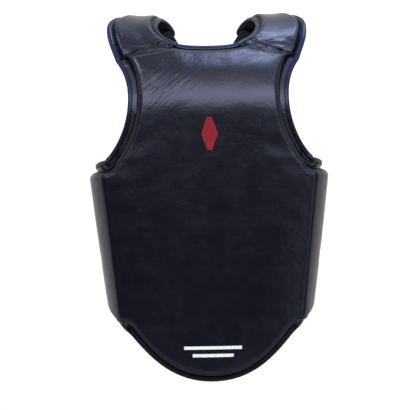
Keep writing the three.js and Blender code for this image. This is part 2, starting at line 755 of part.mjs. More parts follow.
// The end of a strap that has gone round its ring: the tail folded back, and the hook and loop
// tapes that hold it down.
function strapEnd(path, suffix) {
  const station = (place) => Math.floor(place / STATION) * STATION;
  const from = station(path.length - TAIL_LENGTH);
  const tapeTo = station(path.length - TAIL_CLEAR);
  const loopLift = STRAP.thick / 2 + 1.5 * GAP + TOUCH_TAPE.thick / 2;
  const hookLift = TAIL_OFFSET - loopLift;
  return {
    tail: mesh(
      `strap_tail_${suffix}`,
      ribbon(path, { from, to: path.length - TAIL_CLEAR, lift: TAIL_OFFSET }),
      elastic,
    ),
    hook: mesh(
      `hook_tape_${suffix}`,
      ribbon(path, { from, to: tapeTo, lift: hookLift, ...TOUCH_TAPE }),
      touchTape,
    ),
    loop: mesh(
      `loop_tape_${suffix}`,
      ribbon(path, { from: from - 2 * STATION, to: tapeTo, lift: loopLift, ...TOUCH_TAPE }),
      touchTape,
    ),
  };
}

// A diamond of leather sewn over the crossing, one on each face of the straps.
function crossingPatch(name, y) {
  const { half, thick, corner } = PATCH;
  const shape = new THREE.Shape();
  [[half, 0], [0, half], [-half, 0], [0, -half]].forEach(([x, z], k, all) => {
    const [nx, nz] = all[(k + 1) % 4];
    const part = corner / half;
    const start = [lerp(x, nx, part), lerp(z, nz, part)];
    const end = [lerp(nx, x, part), lerp(nz, z, part)];
    if (k === 0) shape.moveTo(...start);
    shape.lineTo(...end);
    const [mx, mz] = all[(k + 2) % 4];
    shape.quadraticCurveTo(nx, nz, lerp(nx, mx, part), lerp(nz, mz, part));
  });
  const geometry = new THREE.ExtrudeGeometry(shape, {
    depth: thick,
    bevelEnabled: false,
    curveSegments: 3,
  });
  geometry.rotateX(PI / 2);
  geometry.translate(CROSSING.x, y + thick, CROSSING.z);
  return mesh(name, geometry, leather);
}

// ---------------------------------------------------------------- assembly

function sideGroup(side) {
  const other = side === "right" ? "left" : "right";
  const { path, crossing } = crossStrap(side === "right" ? 1 : 0);
  const end = strapEnd(path, `cross_${side}`);
  const wrapped = wrap(edgeFrame(CROSS_RING_Z, CROSS_RING_TILT));
  const upper = ribbon(path, { from: 0, to: crossing - GAP / 2 });
  const lower = ribbon(path, { from: crossing + GAP / 2, to: path.length, extra: wrapped });
  const group = new THREE.Group();
  group.add(
    shoulderGroup(side),
    wingGroup(side),
    ring(`cross_strap_ring_${side}`, CROSS_RING_Z, CROSS_RING_TILT),
    mesh(`cross_strap_upper_${other}`, upper, elastic),
    mesh(`cross_strap_lower_${side}`, lower, elastic),
    end.tail,
    end.hook,
    end.loop,
  );
  group.scale.x = side === "right" ? 1 : -1;
  return group;
}

function waistGroup() {
  const path = waistPath();
  const end = strapEnd(path, "waist");
  const wrapped = wrap(edgeFrame(WAIST_STRAP_Z, 0));
  const group = new THREE.Group();
  group.add(
    chape("waist_strap_chape", WAIST_STRAP_Z, 0),
    ring("waist_strap_ring", WAIST_STRAP_Z, 0),
    mesh("waist_strap", ribbon(path, { from: 0, to: path.length, extra: wrapped }), elastic),
    end.tail,
    end.hook,
    end.loop,
  );
  return group;
}

const patchGap = STRAP.thick / 2 + 2 * GAP;
const protector = new THREE.Group();
protector.add(
  chestGroup(),
  sideGroup("left"),
  sideGroup("right"),
  waistGroup(),
  crossingPatch("crossing_patch_inner", CROSSING.y - patchGap - PATCH.thick),
  crossingPatch("crossing_patch_outer", CROSSING.y + patchGap + LEVEL_STEP),
);

export default protector;
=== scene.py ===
"""Looks of the chest protector: leather pads, binding, lining, straps and rings on the CAD frame."""

import math

import bpy
import numpy as np
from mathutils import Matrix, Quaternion, Vector, kdtree


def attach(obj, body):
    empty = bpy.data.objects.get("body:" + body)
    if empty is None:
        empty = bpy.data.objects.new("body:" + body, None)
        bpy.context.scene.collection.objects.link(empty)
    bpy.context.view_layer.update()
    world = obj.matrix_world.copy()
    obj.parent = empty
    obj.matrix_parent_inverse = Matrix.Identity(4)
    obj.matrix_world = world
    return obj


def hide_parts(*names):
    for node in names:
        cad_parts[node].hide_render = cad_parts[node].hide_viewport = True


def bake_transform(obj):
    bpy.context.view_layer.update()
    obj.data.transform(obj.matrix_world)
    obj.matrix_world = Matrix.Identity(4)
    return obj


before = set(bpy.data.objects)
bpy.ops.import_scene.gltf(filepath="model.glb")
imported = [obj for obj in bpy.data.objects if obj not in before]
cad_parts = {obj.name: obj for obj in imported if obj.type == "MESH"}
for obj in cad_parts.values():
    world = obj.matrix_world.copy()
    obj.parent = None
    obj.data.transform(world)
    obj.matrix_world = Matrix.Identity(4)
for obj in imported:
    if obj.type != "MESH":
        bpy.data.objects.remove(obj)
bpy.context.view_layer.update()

# ------------------------------------------------------------------ dimensions, in mm as in part.mjs

FRONT_Y = -119
PLAN = [(674, 13), (3, 42), (90, 40), (45, 38), (2000, 1)]  # radius and degrees of each plan arc
PLAN = [(r, math.radians(a)) for r, a in PLAN]
FRONT_END = PLAN[0][0] * PLAN[0][1]
CORNER_RADIUS, CORNER_TURN = PLAN[1]
CREASE_AT = FRONT_END + CORNER_RADIUS * CORNER_TURN / 2
WING_LENGTH = sum(r * a for r, a in PLAN[2:]) + CORNER_RADIUS * CORNER_TURN / 2
TAPER_HIP, TAPER_ARMPIT = 0.825, 1.02
LEAN_FROM, LEAN_TO, LEAN_SLOPE = 395, 455, math.tan(math.radians(25))
HIP_Z, ARMPIT_Z = 75, 338
HEM = [(0, 0), (64, 0), (97, 41)]
ARMHOLE = [(124, 372), (105, 442), (140, 488)]
NECKLINE = [(0, 509), (32, 509), (46, 513.5)]
WING_TOP = [(0, 336), (32, 334), (75, 320), (WING_LENGTH, 350)]
WING_HEM = [(0, 75), (30, 92), (70, 112), (WING_LENGTH, 124)]
WING_CORNER = 18
CAP_NECK_EDGE = [(69, -57, 528), (78, -36, 545), (70, 0, 561), (57, 28, 555), (47, 50, 541)]
CAP_ARM_EDGE = [(154, -55, 528), (154, -30, 552), (138, 4, 564), (119, 35, 554), (101, 58, 529)]
CAP_SAG, CAP_CORNER, CAP_CORNER_SHARE, CAP_UV_WIDTH = 5, 14, 0.8, 90

LINING, FLANGE = 1.5, 3.3  # heights above the inner face
COVER_FOOT = 1.8
CHEST_THICK, WING_THICK, CAP_THICK, NECK_THICK = 25, 20, 12, 17
WING_FRONT_THICK, WING_THICKENS_OVER = 21, 30
THIN_FROM_Z, THIN_OVER = 455, 55

STRAP_WIDTH, STRAP_THICK = 50, 1.8
WAIST_Z, CROSS_Z, CROSS_TILT = 190, 296, math.radians(28)
CROSSING = np.array([0.0, 106, 408])
CHAPE_LENGTH, CHAPE_DROP, CHAPE_REACH = 24, 5.9, 10
BAR_REACH = CHAPE_REACH + 12 + 4
WRAP_RADIUS = 3.4
LEVEL_STEP = 2.4

# ------------------------------------------------------------------ curves and surfaces


def lerp(a, b, t):
    return a + (b - a) * t


def smooth(t):
    t = np.clip(t, 0, 1)
    return t * t * (3 - 2 * t)


def unit(v):
    return v / np.maximum(np.linalg.norm(v, axis=-1, keepdims=True), 1e-12)


def square_to(v, off):
    """The direction of v without its part along the unit direction off."""
    return unit(v - (v * off).sum(-1, keepdims=True) * off)


def bezier(points, t):
    t = np.asarray(t, float)[..., None]
    level = [np.asarray(p, float) for p in points]
    while len(level) > 1:
        level = [lerp(a, b, t) for a, b in zip(level, level[1:])]
    return level[0]


def plan(s):
    s = np.asarray(s, float)
    left = np.abs(s)
    x = y = heading = np.zeros_like(left)
    for k, (radius, turn) in enumerate(PLAN):
        run = left if k == len(PLAN) - 1 else np.minimum(left, radius * turn)
        after = heading + run / radius
        x = x + radius * (np.sin(after) - np.sin(heading))
        y = y + radius * (np.cos(heading) - np.cos(after))
        heading, left = after, left - run
    return np.sign(s) * x, y


def taper(z):
    return lerp(TAPER_HIP, TAPER_ARMPIT, np.clip((z - HIP_Z) / (ARMPIT_Z - HIP_Z), 0, 1))


def lean(z):
    span = LEAN_TO - LEAN_FROM
    t = np.clip((z - LEAN_FROM) / span, 0, 1)
    return LEAN_SLOPE * (span * (t**3 - t**4 / 2) + np.maximum(0, z - LEAN_TO))


def torso(s, z):
    x, y = plan(s)
    z = z + 0 * x
    return np.stack([x * taper(z), FRONT_Y + y + lean(z), z], -1)


def normals_of(surface, a, b, nudge):
    da = surface(a + nudge, b) - surface(a - nudge, b)
    db = surface(a, b + nudge) - surface(a, b - nudge)
    return unit(np.cross(da, db))


def on_front(point):
    x, z = point
    radius = PLAN[0][0]
    return radius * math.asin(x / float(taper(z)) / radius), z


HEM_PATH = [*map(on_front, HEM), (CREASE_AT, HIP_Z)]
ARMHOLE_PATH = [(CREASE_AT, ARMPIT_Z), *map(on_front, ARMHOLE)]
NECK_PATH = list(map(on_front, NECKLINE))
SHOULDER_PATH = [NECK_PATH[-1], ARMHOLE_PATH[-1]]
NECK_SHARE = NECK_PATH[-1][0] / ARMHOLE_PATH[-1][0]


def running_length(line):
    """The length along a polyline at each of its points; columns after the third don't count."""
    return np.concatenate([[0], np.cumsum(np.linalg.norm(np.diff(line[:, :3], axis=0), axis=1))])


def catmull(knots, steps=30):
    """Dense points on a centripetal Catmull-Rom curve, with the arc length at each."""
    p = np.asarray(knots, float)
    p = np.vstack([2 * p[0] - p[1], p, 2 * p[-1] - p[-2]])
    out = []
    t = np.linspace(0, 1, steps, endpoint=False)[:, None]
    for a, b, c, d in zip(p, p[1:], p[2:], p[3:]):
        d0, d1, d2 = (max(np.linalg.norm(v[:3]) ** 0.5, 1e-4) for v in (b - a, c - b, d - c))
        m1 = ((b - a) / d0 - (c - a) / (d0 + d1) + (c - b) / d1) * d1
        m2 = ((c - b) / d1 - (d - b) / (d1 + d2) + (d - c) / d2) * d1
        out.append(
            b + m1 * t + (-3 * b + 3 * c - 2 * m1 - m2) * t**2 + (2 * b - 2 * c + m1 + m2) * t**3
        )
    line = np.vstack([*out, p[-2][None]])
    return line, running_length(line)


def along_curve(curve, distance):
    line, length = curve
    return np.stack([np.interp(distance, length, line[:, k]) for k in range(line.shape[1])], -1)


NECK_CURVE = catmull([torso(*SHOULDER_PATH[0]), *CAP_NECK_EDGE])
ARM_CURVE = catmull([torso(*SHOULDER_PATH[1]), *CAP_ARM_EDGE])
CAP_LENGTH = (NECK_CURVE[1][-1] + ARM_CURVE[1][-1]) / 2


def cap(across, along):
    t = np.clip(along, 0, 1)
    neck = along_curve(NECK_CURVE, t * NECK_CURVE[1][-1])
    arm = along_curve(ARM_CURVE, t * ARM_CURVE[1][-1])
    across = np.asarray(across, float)
    point = lerp(neck, arm, across[..., None])
    point[..., 2] -= CAP_SAG * 4 * across * (1 - across) * np.sin(np.pi * np.minimum(1, t * 1.15))
    return point


# ------------------------------------------------------------------ grids

# Distances in mm of the first grid lines from a free edge, the shoulder seam and the side crease.
EDGE_LINES = [0, 1.5, 3, 4.5, 6, 7.5, 9, 10.5, 11.7, 12.7, 13.6, 14.6, 16, 18, 20.5, 23.5, 27]
SEAM_LINES = [0, 0.4, 0.9, 1.5, 2.2, 3, 4, 5, 6.2, 7.5, 9, 11, 13.2, 15.6, 18.2, 21, 24]
CREASE_LINES = [0, 0.28, 0.55, 0.83, 1.1, 2.0, 3.2, 4.6, 6.2, 8, 10, 12.2, 14.6, 17.4, 20.4, 23.6, 27]
SIDE_COUNT, NECK_COUNT, LOWER_COUNT, UPPER_COUNT = 16, 11, 56, 26
WING_COUNT, CAP_COUNT, CAP_ACROSS = 22, 26, 14


def fill(start, end, count):
    return list(np.linspace(start, end, count + 1)[1:])


def half_columns(lines, half):
    """Distances of the columns from a side edge to the centre; one stands on the neck's corner."""
    corner = (1 - NECK_SHARE) * half
    return np.array([*lines, *fill(lines[-1], corner, SIDE_COUNT), *fill(corner, half, NECK_COUNT)])


def rows_between(lines, length, count, far_lines=None):
    """Distances of lines across a length, close together at both ends."""
    far = length - np.array((far_lines or lines)[::-1], float)
    return np.array([*lines, *fill(lines[-1], far[0], count), *far[1:]])


HALF_COLUMNS = len(EDGE_LINES) - 1 + SIDE_COUNT + NECK_COUNT
CHEST_COLUMNS = 2 * HALF_COLUMNS
CORNER_COLUMN = HALF_COLUMNS + NECK_COUNT


def mirrored(s, z):
    """Right half values, from the side edge to the centre, as a whole row from left to right."""
    return np.stack([np.concatenate([-s, s[-2::-1]]), np.concatenate([z, z[-2::-1]])], -1)


def top_edge(u):
    neck = bezier(NECK_PATH, u / NECK_SHARE)
    shoulder = bezier(SHOULDER_PATH, (u - NECK_SHARE) / (1 - NECK_SHARE))
    return np.where((u <= NECK_SHARE + 1e-6)[:, None], neck, shoulder)


def chest_grid():
    """(s, z) of the chest's lower and upper rows, with columns from the left to the right side."""
    edge, seam, crease = (np.array(lines) for lines in (EDGE_LINES, SEAM_LINES, CREASE_LINES))
    lower_rows = 2 * len(EDGE_LINES) - 1 + LOWER_COUNT
    upper_rows = len(EDGE_LINES) + UPPER_COUNT
    lower = np.zeros((CHEST_COLUMNS + 1, lower_rows, 2))
    upper = np.zeros((CHEST_COLUMNS + 1, upper_rows, 2))
    for j in range(lower_rows):
        near_armpit = float(smooth((j / (lower_rows - 1) - 0.72) / 0.28))
        u = 1 - half_columns(lerp(crease, edge, near_armpit), CREASE_AT) / CREASE_AT
        hem = bezier(HEM_PATH, u)
        height = ARMPIT_Z - hem[:, 1]
        v = np.array([rows_between(EDGE_LINES, h, LOWER_COUNT)[j] / h for h in height])
        lower[:, j] = mirrored(lerp(hem[:, 0], u * CREASE_AT, v), lerp(hem[:, 1], ARMPIT_Z, v))
    for j in range(upper_rows):
        v = np.full(HALF_COLUMNS + 1, j / (upper_rows - 1))
        for _ in range(3):  # the columns' places and the row's heights depend on each other
            reach = bezier(ARMHOLE_PATH, v)[:, 0].mean()
            u = np.clip(1 - half_columns(EDGE_LINES, reach) / reach, 0, 1)
            top = top_edge(u)
            height = top[:, 1] - ARMPIT_Z
            lines = lerp(edge, seam, smooth((u - NECK_SHARE) / 0.1)[:, None])
            down = [[*line, *fill(line[-1], h, UPPER_COUNT)][-1 - j] for line, h in zip(lines, height)]
            v = 1 - np.array(down) / height
        side = bezier(ARMHOLE_PATH, v)
        end_s, end_z = SHOULDER_PATH[1]
        s = lerp(u * CREASE_AT, top[:, 0], v) + u * (side[:, 0] - lerp(CREASE_AT, end_s, v))
        z = lerp(ARMPIT_Z, top[:, 1], v) + u * (side[:, 1] - lerp(ARMPIT_Z, end_z, v))
        upper[:, j] = mirrored(s, z)
    return lower, upper[:, 1:]


def corner_inset(along, length, radius):
    """How far the round corners at a panel's far end cut into it from each side."""
    beyond = np.clip((along - length + radius) / radius, 0, 1)
    return radius * (1 - math.sqrt(1 - beyond**2))


def wing_grid(crease_column):
    """(s, z) of the right wing; its first column is the chest's last one."""
    columns = rows_between(CREASE_LINES, WING_LENGTH, WING_COUNT, EDGE_LINES)
    grid = []
    for along in columns:
        inset = corner_inset(along, WING_LENGTH, WING_CORNER)
        low = bezier(WING_HEM, along / WING_LENGTH)[1] + inset
        high = bezier(WING_TOP, along / WING_LENGTH)[1] - inset
        z = low + rows_between(EDGE_LINES, high - low, LOWER_COUNT)
        grid.append(np.stack([0 * z + CREASE_AT + along, z], -1))
    grid[0] = crease_column
    return np.array(grid)


def cap_grid():
    """(across, along) of the right shoulder cap, both as shares."""
    grid = []
    for row in rows_between(SEAM_LINES, CAP_LENGTH, CAP_COUNT, EDGE_LINES):
        t = row / CAP_LENGTH
        neck, arm = (along_curve(curve, t * curve[1][-1]) for curve in (NECK_CURVE, ARM_CURVE))
        width = float(np.linalg.norm(neck - arm))
        inset = corner_inset(row, CAP_LENGTH, CAP_CORNER) * CAP_CORNER_SHARE
        lines = rows_between(EDGE_LINES[:15], width - 2 * inset, CAP_ACROSS)
        grid.append(np.stack([(inset + lines) / width, np.full(len(lines), t)], -1))
    return np.array(grid).transpose(1, 0, 2)


# ------------------------------------------------------------------ pad heights


def distance_to(points, polyline):
    """Distance of each point from a polyline."""
    flat = points.reshape(-1, 3)
    a, b = polyline[:-1], polyline[1:]
    step = b - a
    squared = np.maximum((step**2).sum(-1), 1e-9)
    best = np.full(len(flat), 1e9)
    place = np.zeros(len(flat))
    for k in range(0, len(flat), 3000):
        part = flat[k : k + 3000, None]
        t = np.clip(((part - a) * step).sum(-1) / squared, 0, 1)
        d = np.linalg.norm(part - (a + t[..., None] * step), axis=-1)
        near = d.argmin(1)
        rows = np.arange(len(near))
        best[k : k + 3000] = d[rows, near]
        place[k : k + 3000] = near + t[rows, near]
    return best.reshape(points.shape[:-1]), place.reshape(points.shape[:-1])


def roll(distance, flange, radius, thick, base=FLANGE, power=2.2):
    """Height of a pad that rises from its flange in a rounded edge."""
    t = np.clip((distance - flange) / radius, 0, 1)
    return base + (thick - base) * (1 - (1 - t) ** power) ** (1 / power)


def soft_min(heights, sharp=5.0):
    stack = np.stack(heights)
    low = stack.min(0)
    return low - np.log(np.exp(-(stack - low) / sharp * 8).sum(0)) * sharp / 8


def mitre(s, heights):
    """Turns the rounded outer corner over the side crease into a crisp fold of two flat faces."""
    half = CORNER_TURN / 2
    turn = np.clip((np.abs(s) - CREASE_AT) / CORNER_RADIUS, -half, half)
    sharpness = 34
    full = np.clip((heights - FLANGE) / (CHEST_THICK - FLANGE), 0, 1)
    wing_heights = heights - full * (CHEST_THICK - WING_FRONT_THICK)
    chest_side = (CORNER_RADIUS + heights) / np.cos(turn + half)
    wing_side = (CORNER_RADIUS + wing_heights) / np.cos(half - turn)
    return (chest_side**-sharpness + wing_side**-sharpness) ** (-1 / sharpness) - CORNER_RADIUS


def value_noise(points, scale, seed):
    """Smooth noise in -1..1 at points in mm, with features about scale mm wide."""
    rng = np.random.default_rng(seed)
    table = rng.uniform(-1, 1, (32, 32, 32))
    p = points / scale
    cell = np.floor(p).astype(int)
    t = smooth(p - cell)
    total = 0
    for corner in range(8):
        bits = [(corner >> k) & 1 for k in range(3)]
        weight = 1
        for k in range(3):
            weight = weight * (t[..., k] if bits[k] else 1 - t[..., k])
        index = [(cell[..., k] + bits[k]) % 32 for k in range(3)]
        total = total + weight * table[index[0], index[1], index[2]]
    return total


# ------------------------------------------------------------------ meshes

ALL_SIDES = ("low", "last", "high", "first")


def new_object(name, points, faces, look, uv=None, side=1):
    """A smooth mesh from points in mm; on the left-hand side it is mirrored."""
    if side < 0:
        points, faces = flip_x(points, -1), [f[::-1] for f in faces]
    mesh = bpy.data.meshes.new(name)
    mesh.from_pydata((np.asarray(points) * 0.001).tolist(), [], [list(map(int, f)) for f in faces])
    mesh.validate()
    mesh.update()
    mesh.shade_smooth()
    if uv is not None:
        layer = mesh.uv_layers.new(name="UVMap")
        corners = np.zeros(len(mesh.loops), int)
        mesh.loops.foreach_get("vertex_index", corners)
        layer.data.foreach_set("uv", (np.asarray(uv)[corners] * 0.001).ravel())
    mesh.materials.append(look.material)
    made = bpy.data.objects.new(name, mesh)
    bpy.context.scene.collection.objects.link(made)
    return made


def grid_faces(index):
    """Quads over a 2-D array of vertex numbers, facing along da x db."""
    a, b, c, d = index[:-1, :-1], index[1:, :-1], index[1:, 1:], index[:-1, 1:]
    return np.stack([a, b, c, d], -1).reshape(-1, 4)


def slab_object(name, outer, inner, uv, sides, look, side=1, groove=None):
    """A pad or lining between an outer and an inner grid of points; sides are the closed ones."""
    index = np.arange(outer[..., 0].size).reshape(outer.shape[:2])
    strips = {"low": index[:, 0], "last": index[-1], "high": index[::-1, -1], "first": index[0, ::-1]}
    faces = [grid_faces(index), grid_faces(index + index.size)[:, ::-1]]
    for strip in (strips[key] for key in sides):
        below = strip + index.size
        faces.append(np.stack([below[:-1], below[1:], strip[1:], strip[:-1]], -1))
    points = np.vstack([outer.reshape(-1, 3), inner.reshape(-1, 3)])
    flat = uv.reshape(-1, 2)
    made = new_object(name, points, np.vstack(faces), look, np.vstack([flat, flat]), side)
    # groove is the mask of painted shade that dulls the leather's shine at the foot of rounded edges.
    if groove is not None:
        shade = made.data.attributes.new("groove", "FLOAT", "POINT")
        shade.data.foreach_set("value", np.concatenate([groove.ravel(), 0 * groove.ravel()]))
    return made


def loft(rings):
    """Points and faces of a closed tube through rings of points."""
    index = np.arange(rings[..., 0].size).reshape(rings.shape[:2])
    wrapped = np.concatenate([index, index[:, :1]], 1)
    return rings.reshape(-1, 3), [*grid_faces(wrapped), index[0], index[-1][::-1]]


def flip_x(points, side):
    return points * np.array([side, 1, 1])


def name_of(side):
    return "right" if side > 0 else "left"


def tree_of(points):
    """A search tree of points, for finding the nearest ones."""
    tree = kdtree.KDTree(len(points))
    for k, point in enumerate(points):
        tree.insert(point, k)
    tree.balance()
    return tree


# ------------------------------------------------------------------ materials


class Nodes:
    """A node tree, with helpers that add nodes to it and link them."""

    def __init__(self, tree):
        self.tree = tree
        self.space = self.node("ShaderNodeTexCoord").outputs

    def node(self, kind, inputs=(), **settings):
        made = self.tree.nodes.new(kind)
        for key, value in settings.items():
            setattr(made, key, value)
        for key, value in dict(inputs).items():
            if isinstance(value, bpy.types.NodeSocket):
                self.tree.links.new(value, made.inputs[key])
            else:
                made.inputs[key].default_value = value
        return made

    def math(self, operation, a, b):
        return self.node("ShaderNodeMath", {0: a, 1: b}, operation=operation).outputs["Value"]

    def ramp(self, value, low, high, to_low, to_high, curve="LINEAR"):
        inputs = {"Value": value, "From Min": low, "From Max": high, "To Min": to_low, "To Max": to_high}
        return self.node("ShaderNodeMapRange", inputs, interpolation_type=curve).outputs["Result"]


class Look(Nodes):
    """A Principled material whose colour, roughness and surface come from textures."""

    def __init__(self, name, color, roughness, level=0.5, metallic=0.0, sheen=0.0):
        self.material = bpy.data.materials.new(name)
        self.material.use_nodes = True
        super().__init__(self.material.node_tree)
        self.shader = self.tree.nodes["Principled BSDF"]
        self.color = color
        self.normal = None
        for key, value in (
            ("Base Color", (*color, 1)), ("Roughness", roughness), ("Metallic", metallic),
            ("Specular IOR Level", level), ("Sheen Weight", sheen),
        ):
            self.shader.inputs[key].default_value = value

    def feed(self, key, output):
        self.tree.links.new(output, self.shader.inputs[key])

    def noise(self, scale, detail=3.0, rough=0.5, vector=None):
        vector = vector or self.space["Object"]
        inputs = {"Vector": vector, "Scale": scale, "Detail": detail, "Roughness": rough}
        return self.node("ShaderNodeTexNoise", inputs).outputs["Fac"]

    def cells(self, scale):
        inputs = {"Vector": self.space["Object"], "Scale": scale}
        return self.node("ShaderNodeTexVoronoi", inputs, feature="DISTANCE_TO_EDGE").outputs["Distance"]

    def wave(self, space, scale, direction):
        inputs = {"Vector": self.space[space], "Scale": scale}
        return self.node("ShaderNodeTexWave", inputs, bands_direction=direction).outputs["Fac"]

    def mix_color(self, share, color, other):
        mix = self.node("ShaderNodeMix", {0: share, 6: color, 7: other}, data_type="RGBA")
        self.feed("Base Color", mix.outputs[2])

    def vary_color(self, value, other, low=0.35, high=0.65):
        self.mix_color(self.ramp(value, low, high, 0, 1), (*self.color, 1), (*other, 1))

    def vary_roughness(self, value, low, high):
        self.feed("Roughness", self.ramp(value, 0.3, 0.7, low, high))

    def bump(self, value, distance, strength=1.0):
        """Adds relief of that height in m to the relief that is there already."""
        inputs = {"Height": value, "Distance": distance, "Strength": strength}
        if self.normal:
            inputs["Normal"] = self.normal
        self.normal = self.node("ShaderNodeBump", inputs).outputs["Normal"]
        self.feed("Normal", self.normal)


# Scale, detail and roughness of the noise in each layer of the leather's grain, and its height in m.
GRAIN = [(14, 3, 0.5, 0.0008), (70, 5, 0.65, 0.0007), (120, 3, 0.6, 0.00035), (270, 3, 0.6, 0.0003)]


def leather(name, color, other, roughness, level, sheen_tint):
    look = Look(name, color, roughness, level)
    look.shader.inputs["Specular Tint"].default_value = (*sheen_tint, 1)
    look.vary_color(look.noise(9, 4), other)
    look.vary_roughness(look.noise(40, 5, 0.6), roughness - 0.03, roughness + 0.05)
    # Painted shade: the groove attribute takes the shine out of the leather at the foot of the pads'
    # rounded edges and beside the shoulder seam.
    groove = look.node("ShaderNodeAttribute", attribute_name="groove").outputs["Fac"]
    look.feed("Specular IOR Level", look.ramp(groove, 0, 1, level, 0.02 * level))
    for scale, detail, rough, height in GRAIN:
        look.bump(look.noise(scale, detail, rough), height, 0.5)
    look.bump(look.cells(620), 0.00012, 0.5)
    look.bump(look.noise(1500, 2), 0.00005, 0.4)
    return look


def paint_rim_shade(look, level):
    """Painted shade on a folded edge: its shine is faded towards its outline, where the edge turns away
    from the light.
    """
    facing = look.node("ShaderNodeLayerWeight", {"Blend": 0.4}).outputs["Facing"]
    look.feed("Specular IOR Level", look.ramp(facing, 0.35, 0.85, level, 0.02))


def shade_low_binding(look, color):
    """Painted shade: the navy binding goes over into the hem's shaded black at the lower end of the
    armholes.
    """
    height = look.node("ShaderNodeSeparateXYZ", {"Vector": look.space["Object"]}).outputs["Z"]
    navy = look.shader.inputs["Base Color"].links[0].from_socket
    look.mix_color(look.ramp(height, 0.385, 0.455, 0, 1), (*color, 1), navy)


def keep_wrinkles(look):
    """Fine slanted wrinkles that the leather keeps on the left of the upper chest."""
    here = look.space["Object"]
    slant = {"Vector": here, "Rotation": (0, math.radians(-43), 0), "Scale": (0.045, 0.02, 0.0042)}
    slanted = look.node("ShaderNodeMapping", slant, vector_type="TEXTURE").outputs["Vector"]
    middle = {0: here, 1: (-0.064, -0.115, 0.455)}
    away = look.node("ShaderNodeVectorMath", middle, operation="DISTANCE").outputs["Value"]
    lines = look.noise(1.0, 2, 0.5, slanted)
    look.bump(look.math("MULTIPLY", lines, look.ramp(away, 0.022, 0.058, 1, 0)), 0.0022, 0.8)


def grained(name, color, other, roughness, level, blotches, grain, height, sheen=0.0):
    """A material with one noise in its colour and a finer one in its surface."""
    look = Look(name, color, roughness, level, sheen=sheen)
    look.vary_color(look.noise(*blotches), other)
    look.bump(look.noise(*grain), height)
    return look


def thread(name, color, other, roughness):
    return grained(name, color, other, roughness, 0.4, (300, 2), (2500, 2), 0.0001)


def lining_cloth():
    look = Look("lining_cloth", (0.0035, 0.0035, 0.0045), 0.85, 0.15, sheen=0.05)
    look.vary_color(look.noise(40, 3), (0.006, 0.006, 0.0075))
    look.bump(look.math("MULTIPLY", look.wave("UV", 160, "X"), look.wave("UV", 160, "Y")), 0.0003)
    look.bump(look.noise(25, 3), 0.0015, 0.5)
    return look


def elastic_webbing():
    look = Look("elastic_webbing", (0.007, 0.007, 0.009), 0.75, 0.3, sheen=0.1)
    ribs, picks = look.wave("UV", 90, "Y"), look.wave("UV", 200, "X")
    look.vary_color(look.math("MULTIPLY", ribs, picks), (0.016, 0.016, 0.02), 0.2, 0.8)
    look.bump(ribs, 0.0004)
    look.bump(picks, 0.0002)
    look.bump(look.noise(40, 2), 0.0008, 0.4)
    return look


def ring_steel():
    look = Look("ring_steel", (0.55, 0.56, 0.58), 0.24, 0.5, 1.0)
    look.vary_roughness(look.noise(60, 4), 0.18, 0.34)
    look.bump(look.noise(300, 3), 0.0001, 0.4)
    return look


def emblem_thread():
    look = Look("emblem_thread", (0.33, 0.008, 0.016), 0.62, 0.3)
    look.vary_color(look.wave("Object", 170, "X"), (0.16, 0.005, 0.012), 0.3, 0.8)
    look.bump(look.wave("Object", 700, "Z"), 0.0002)
    look.bump(look.noise(900, 2), 0.0001)
    return look


SHEEN, NAVY_SHEEN = (0.66, 0.70, 1.0), (0.42, 0.56, 1.0)  # the dye tints the leather's own shine
COVER_DYES = (0.0028, 0.0029, 0.0062), (0.0025, 0.0026, 0.0054)
NAVY_DYES = (0.0036, 0.0068, 0.032), (0.0026, 0.0040, 0.017)
# Painted shade: the navy binding along the hem is coloured near-black, for the shade under the pads'
# lower edge.
HEM_SHADE_COLORS = (0.0021, 0.0022, 0.0036), (0.0016, 0.0017, 0.0026)

cover_look = leather("cover_leather", *COVER_DYES, 0.25, 0.5, SHEEN)
keep_wrinkles(cover_look)
binding_look = leather("binding_leather", *NAVY_DYES, 0.26, 0.5, NAVY_SHEEN)
paint_rim_shade(binding_look, 0.4)
shade_low_binding(binding_look, HEM_SHADE_COLORS[0])
# The hem's binding: painted shade in its near-black colour and in its lowered shine.
hem_shade_look = leather("hem_shaded_leather", *HEM_SHADE_COLORS, 0.42, 0.22, SHEEN)
paint_rim_shade(hem_shade_look, 0.3)
lining_look = lining_cloth()
webbing_look = elastic_webbing()
steel_look = ring_steel()
emblem_look = emblem_thread()
thread_look = thread("seam_thread", (0.10, 0.11, 0.15), (0.05, 0.055, 0.08), 0.6)
navy_thread_look = thread("navy_thread", (0.02, 0.026, 0.08), (0.01, 0.012, 0.035), 0.5)
tape_look = grained(
    "touch_tape", (0.005, 0.005, 0.006), (0.014, 0.014, 0.016), 0.95, 0.15,
    (700, 2), (1800, 3), 0.0006, sheen=0.2,
)
print_look = grained(
    "white_print", (0.78, 0.79, 0.80), (0.62, 0.63, 0.65), 0.5, 0.4, (400, 3), (1200, 2), 0.00006
)

# ------------------------------------------------------------------ pads


class Pad:
    """A pad's grid: parameters, inner points, normals and outer heights."""

    def __init__(self, surface, grid, nudge):
        self.grid = grid
        self.points = surface(grid[..., 0], grid[..., 1])
        self.normals = normals_of(surface, grid[..., 0], grid[..., 1], nudge)
        self.heights = np.zeros(grid.shape[:2])

    def at(self, height):
        return self.points + self.normals * np.asarray(height)[..., None]


lower, upper = chest_grid()
chest = Pad(torso, np.concatenate([lower, upper], 1), 0.05)
wing = Pad(torso, wing_grid(lower[-1]), 0.05)
shoulder = Pad(cap, cap_grid(), 0.004)
ARMPIT_ROW = lower.shape[1] - 1

# Free edges and the shoulder seam on the inner face, right side, as polylines.
hem_line = np.vstack([chest.points[HALF_COLUMNS:, 0], wing.points[1:, 0]])
rear_line = wing.points[-1]
wing_top_line = wing.points[:, -1]
armhole_line = chest.points[-1, ARMPIT_ROW:]
neck_line = chest.points[HALF_COLUMNS : CORNER_COLUMN + 1, -1]
seam_line = chest.points[CORNER_COLUMN:, -1]


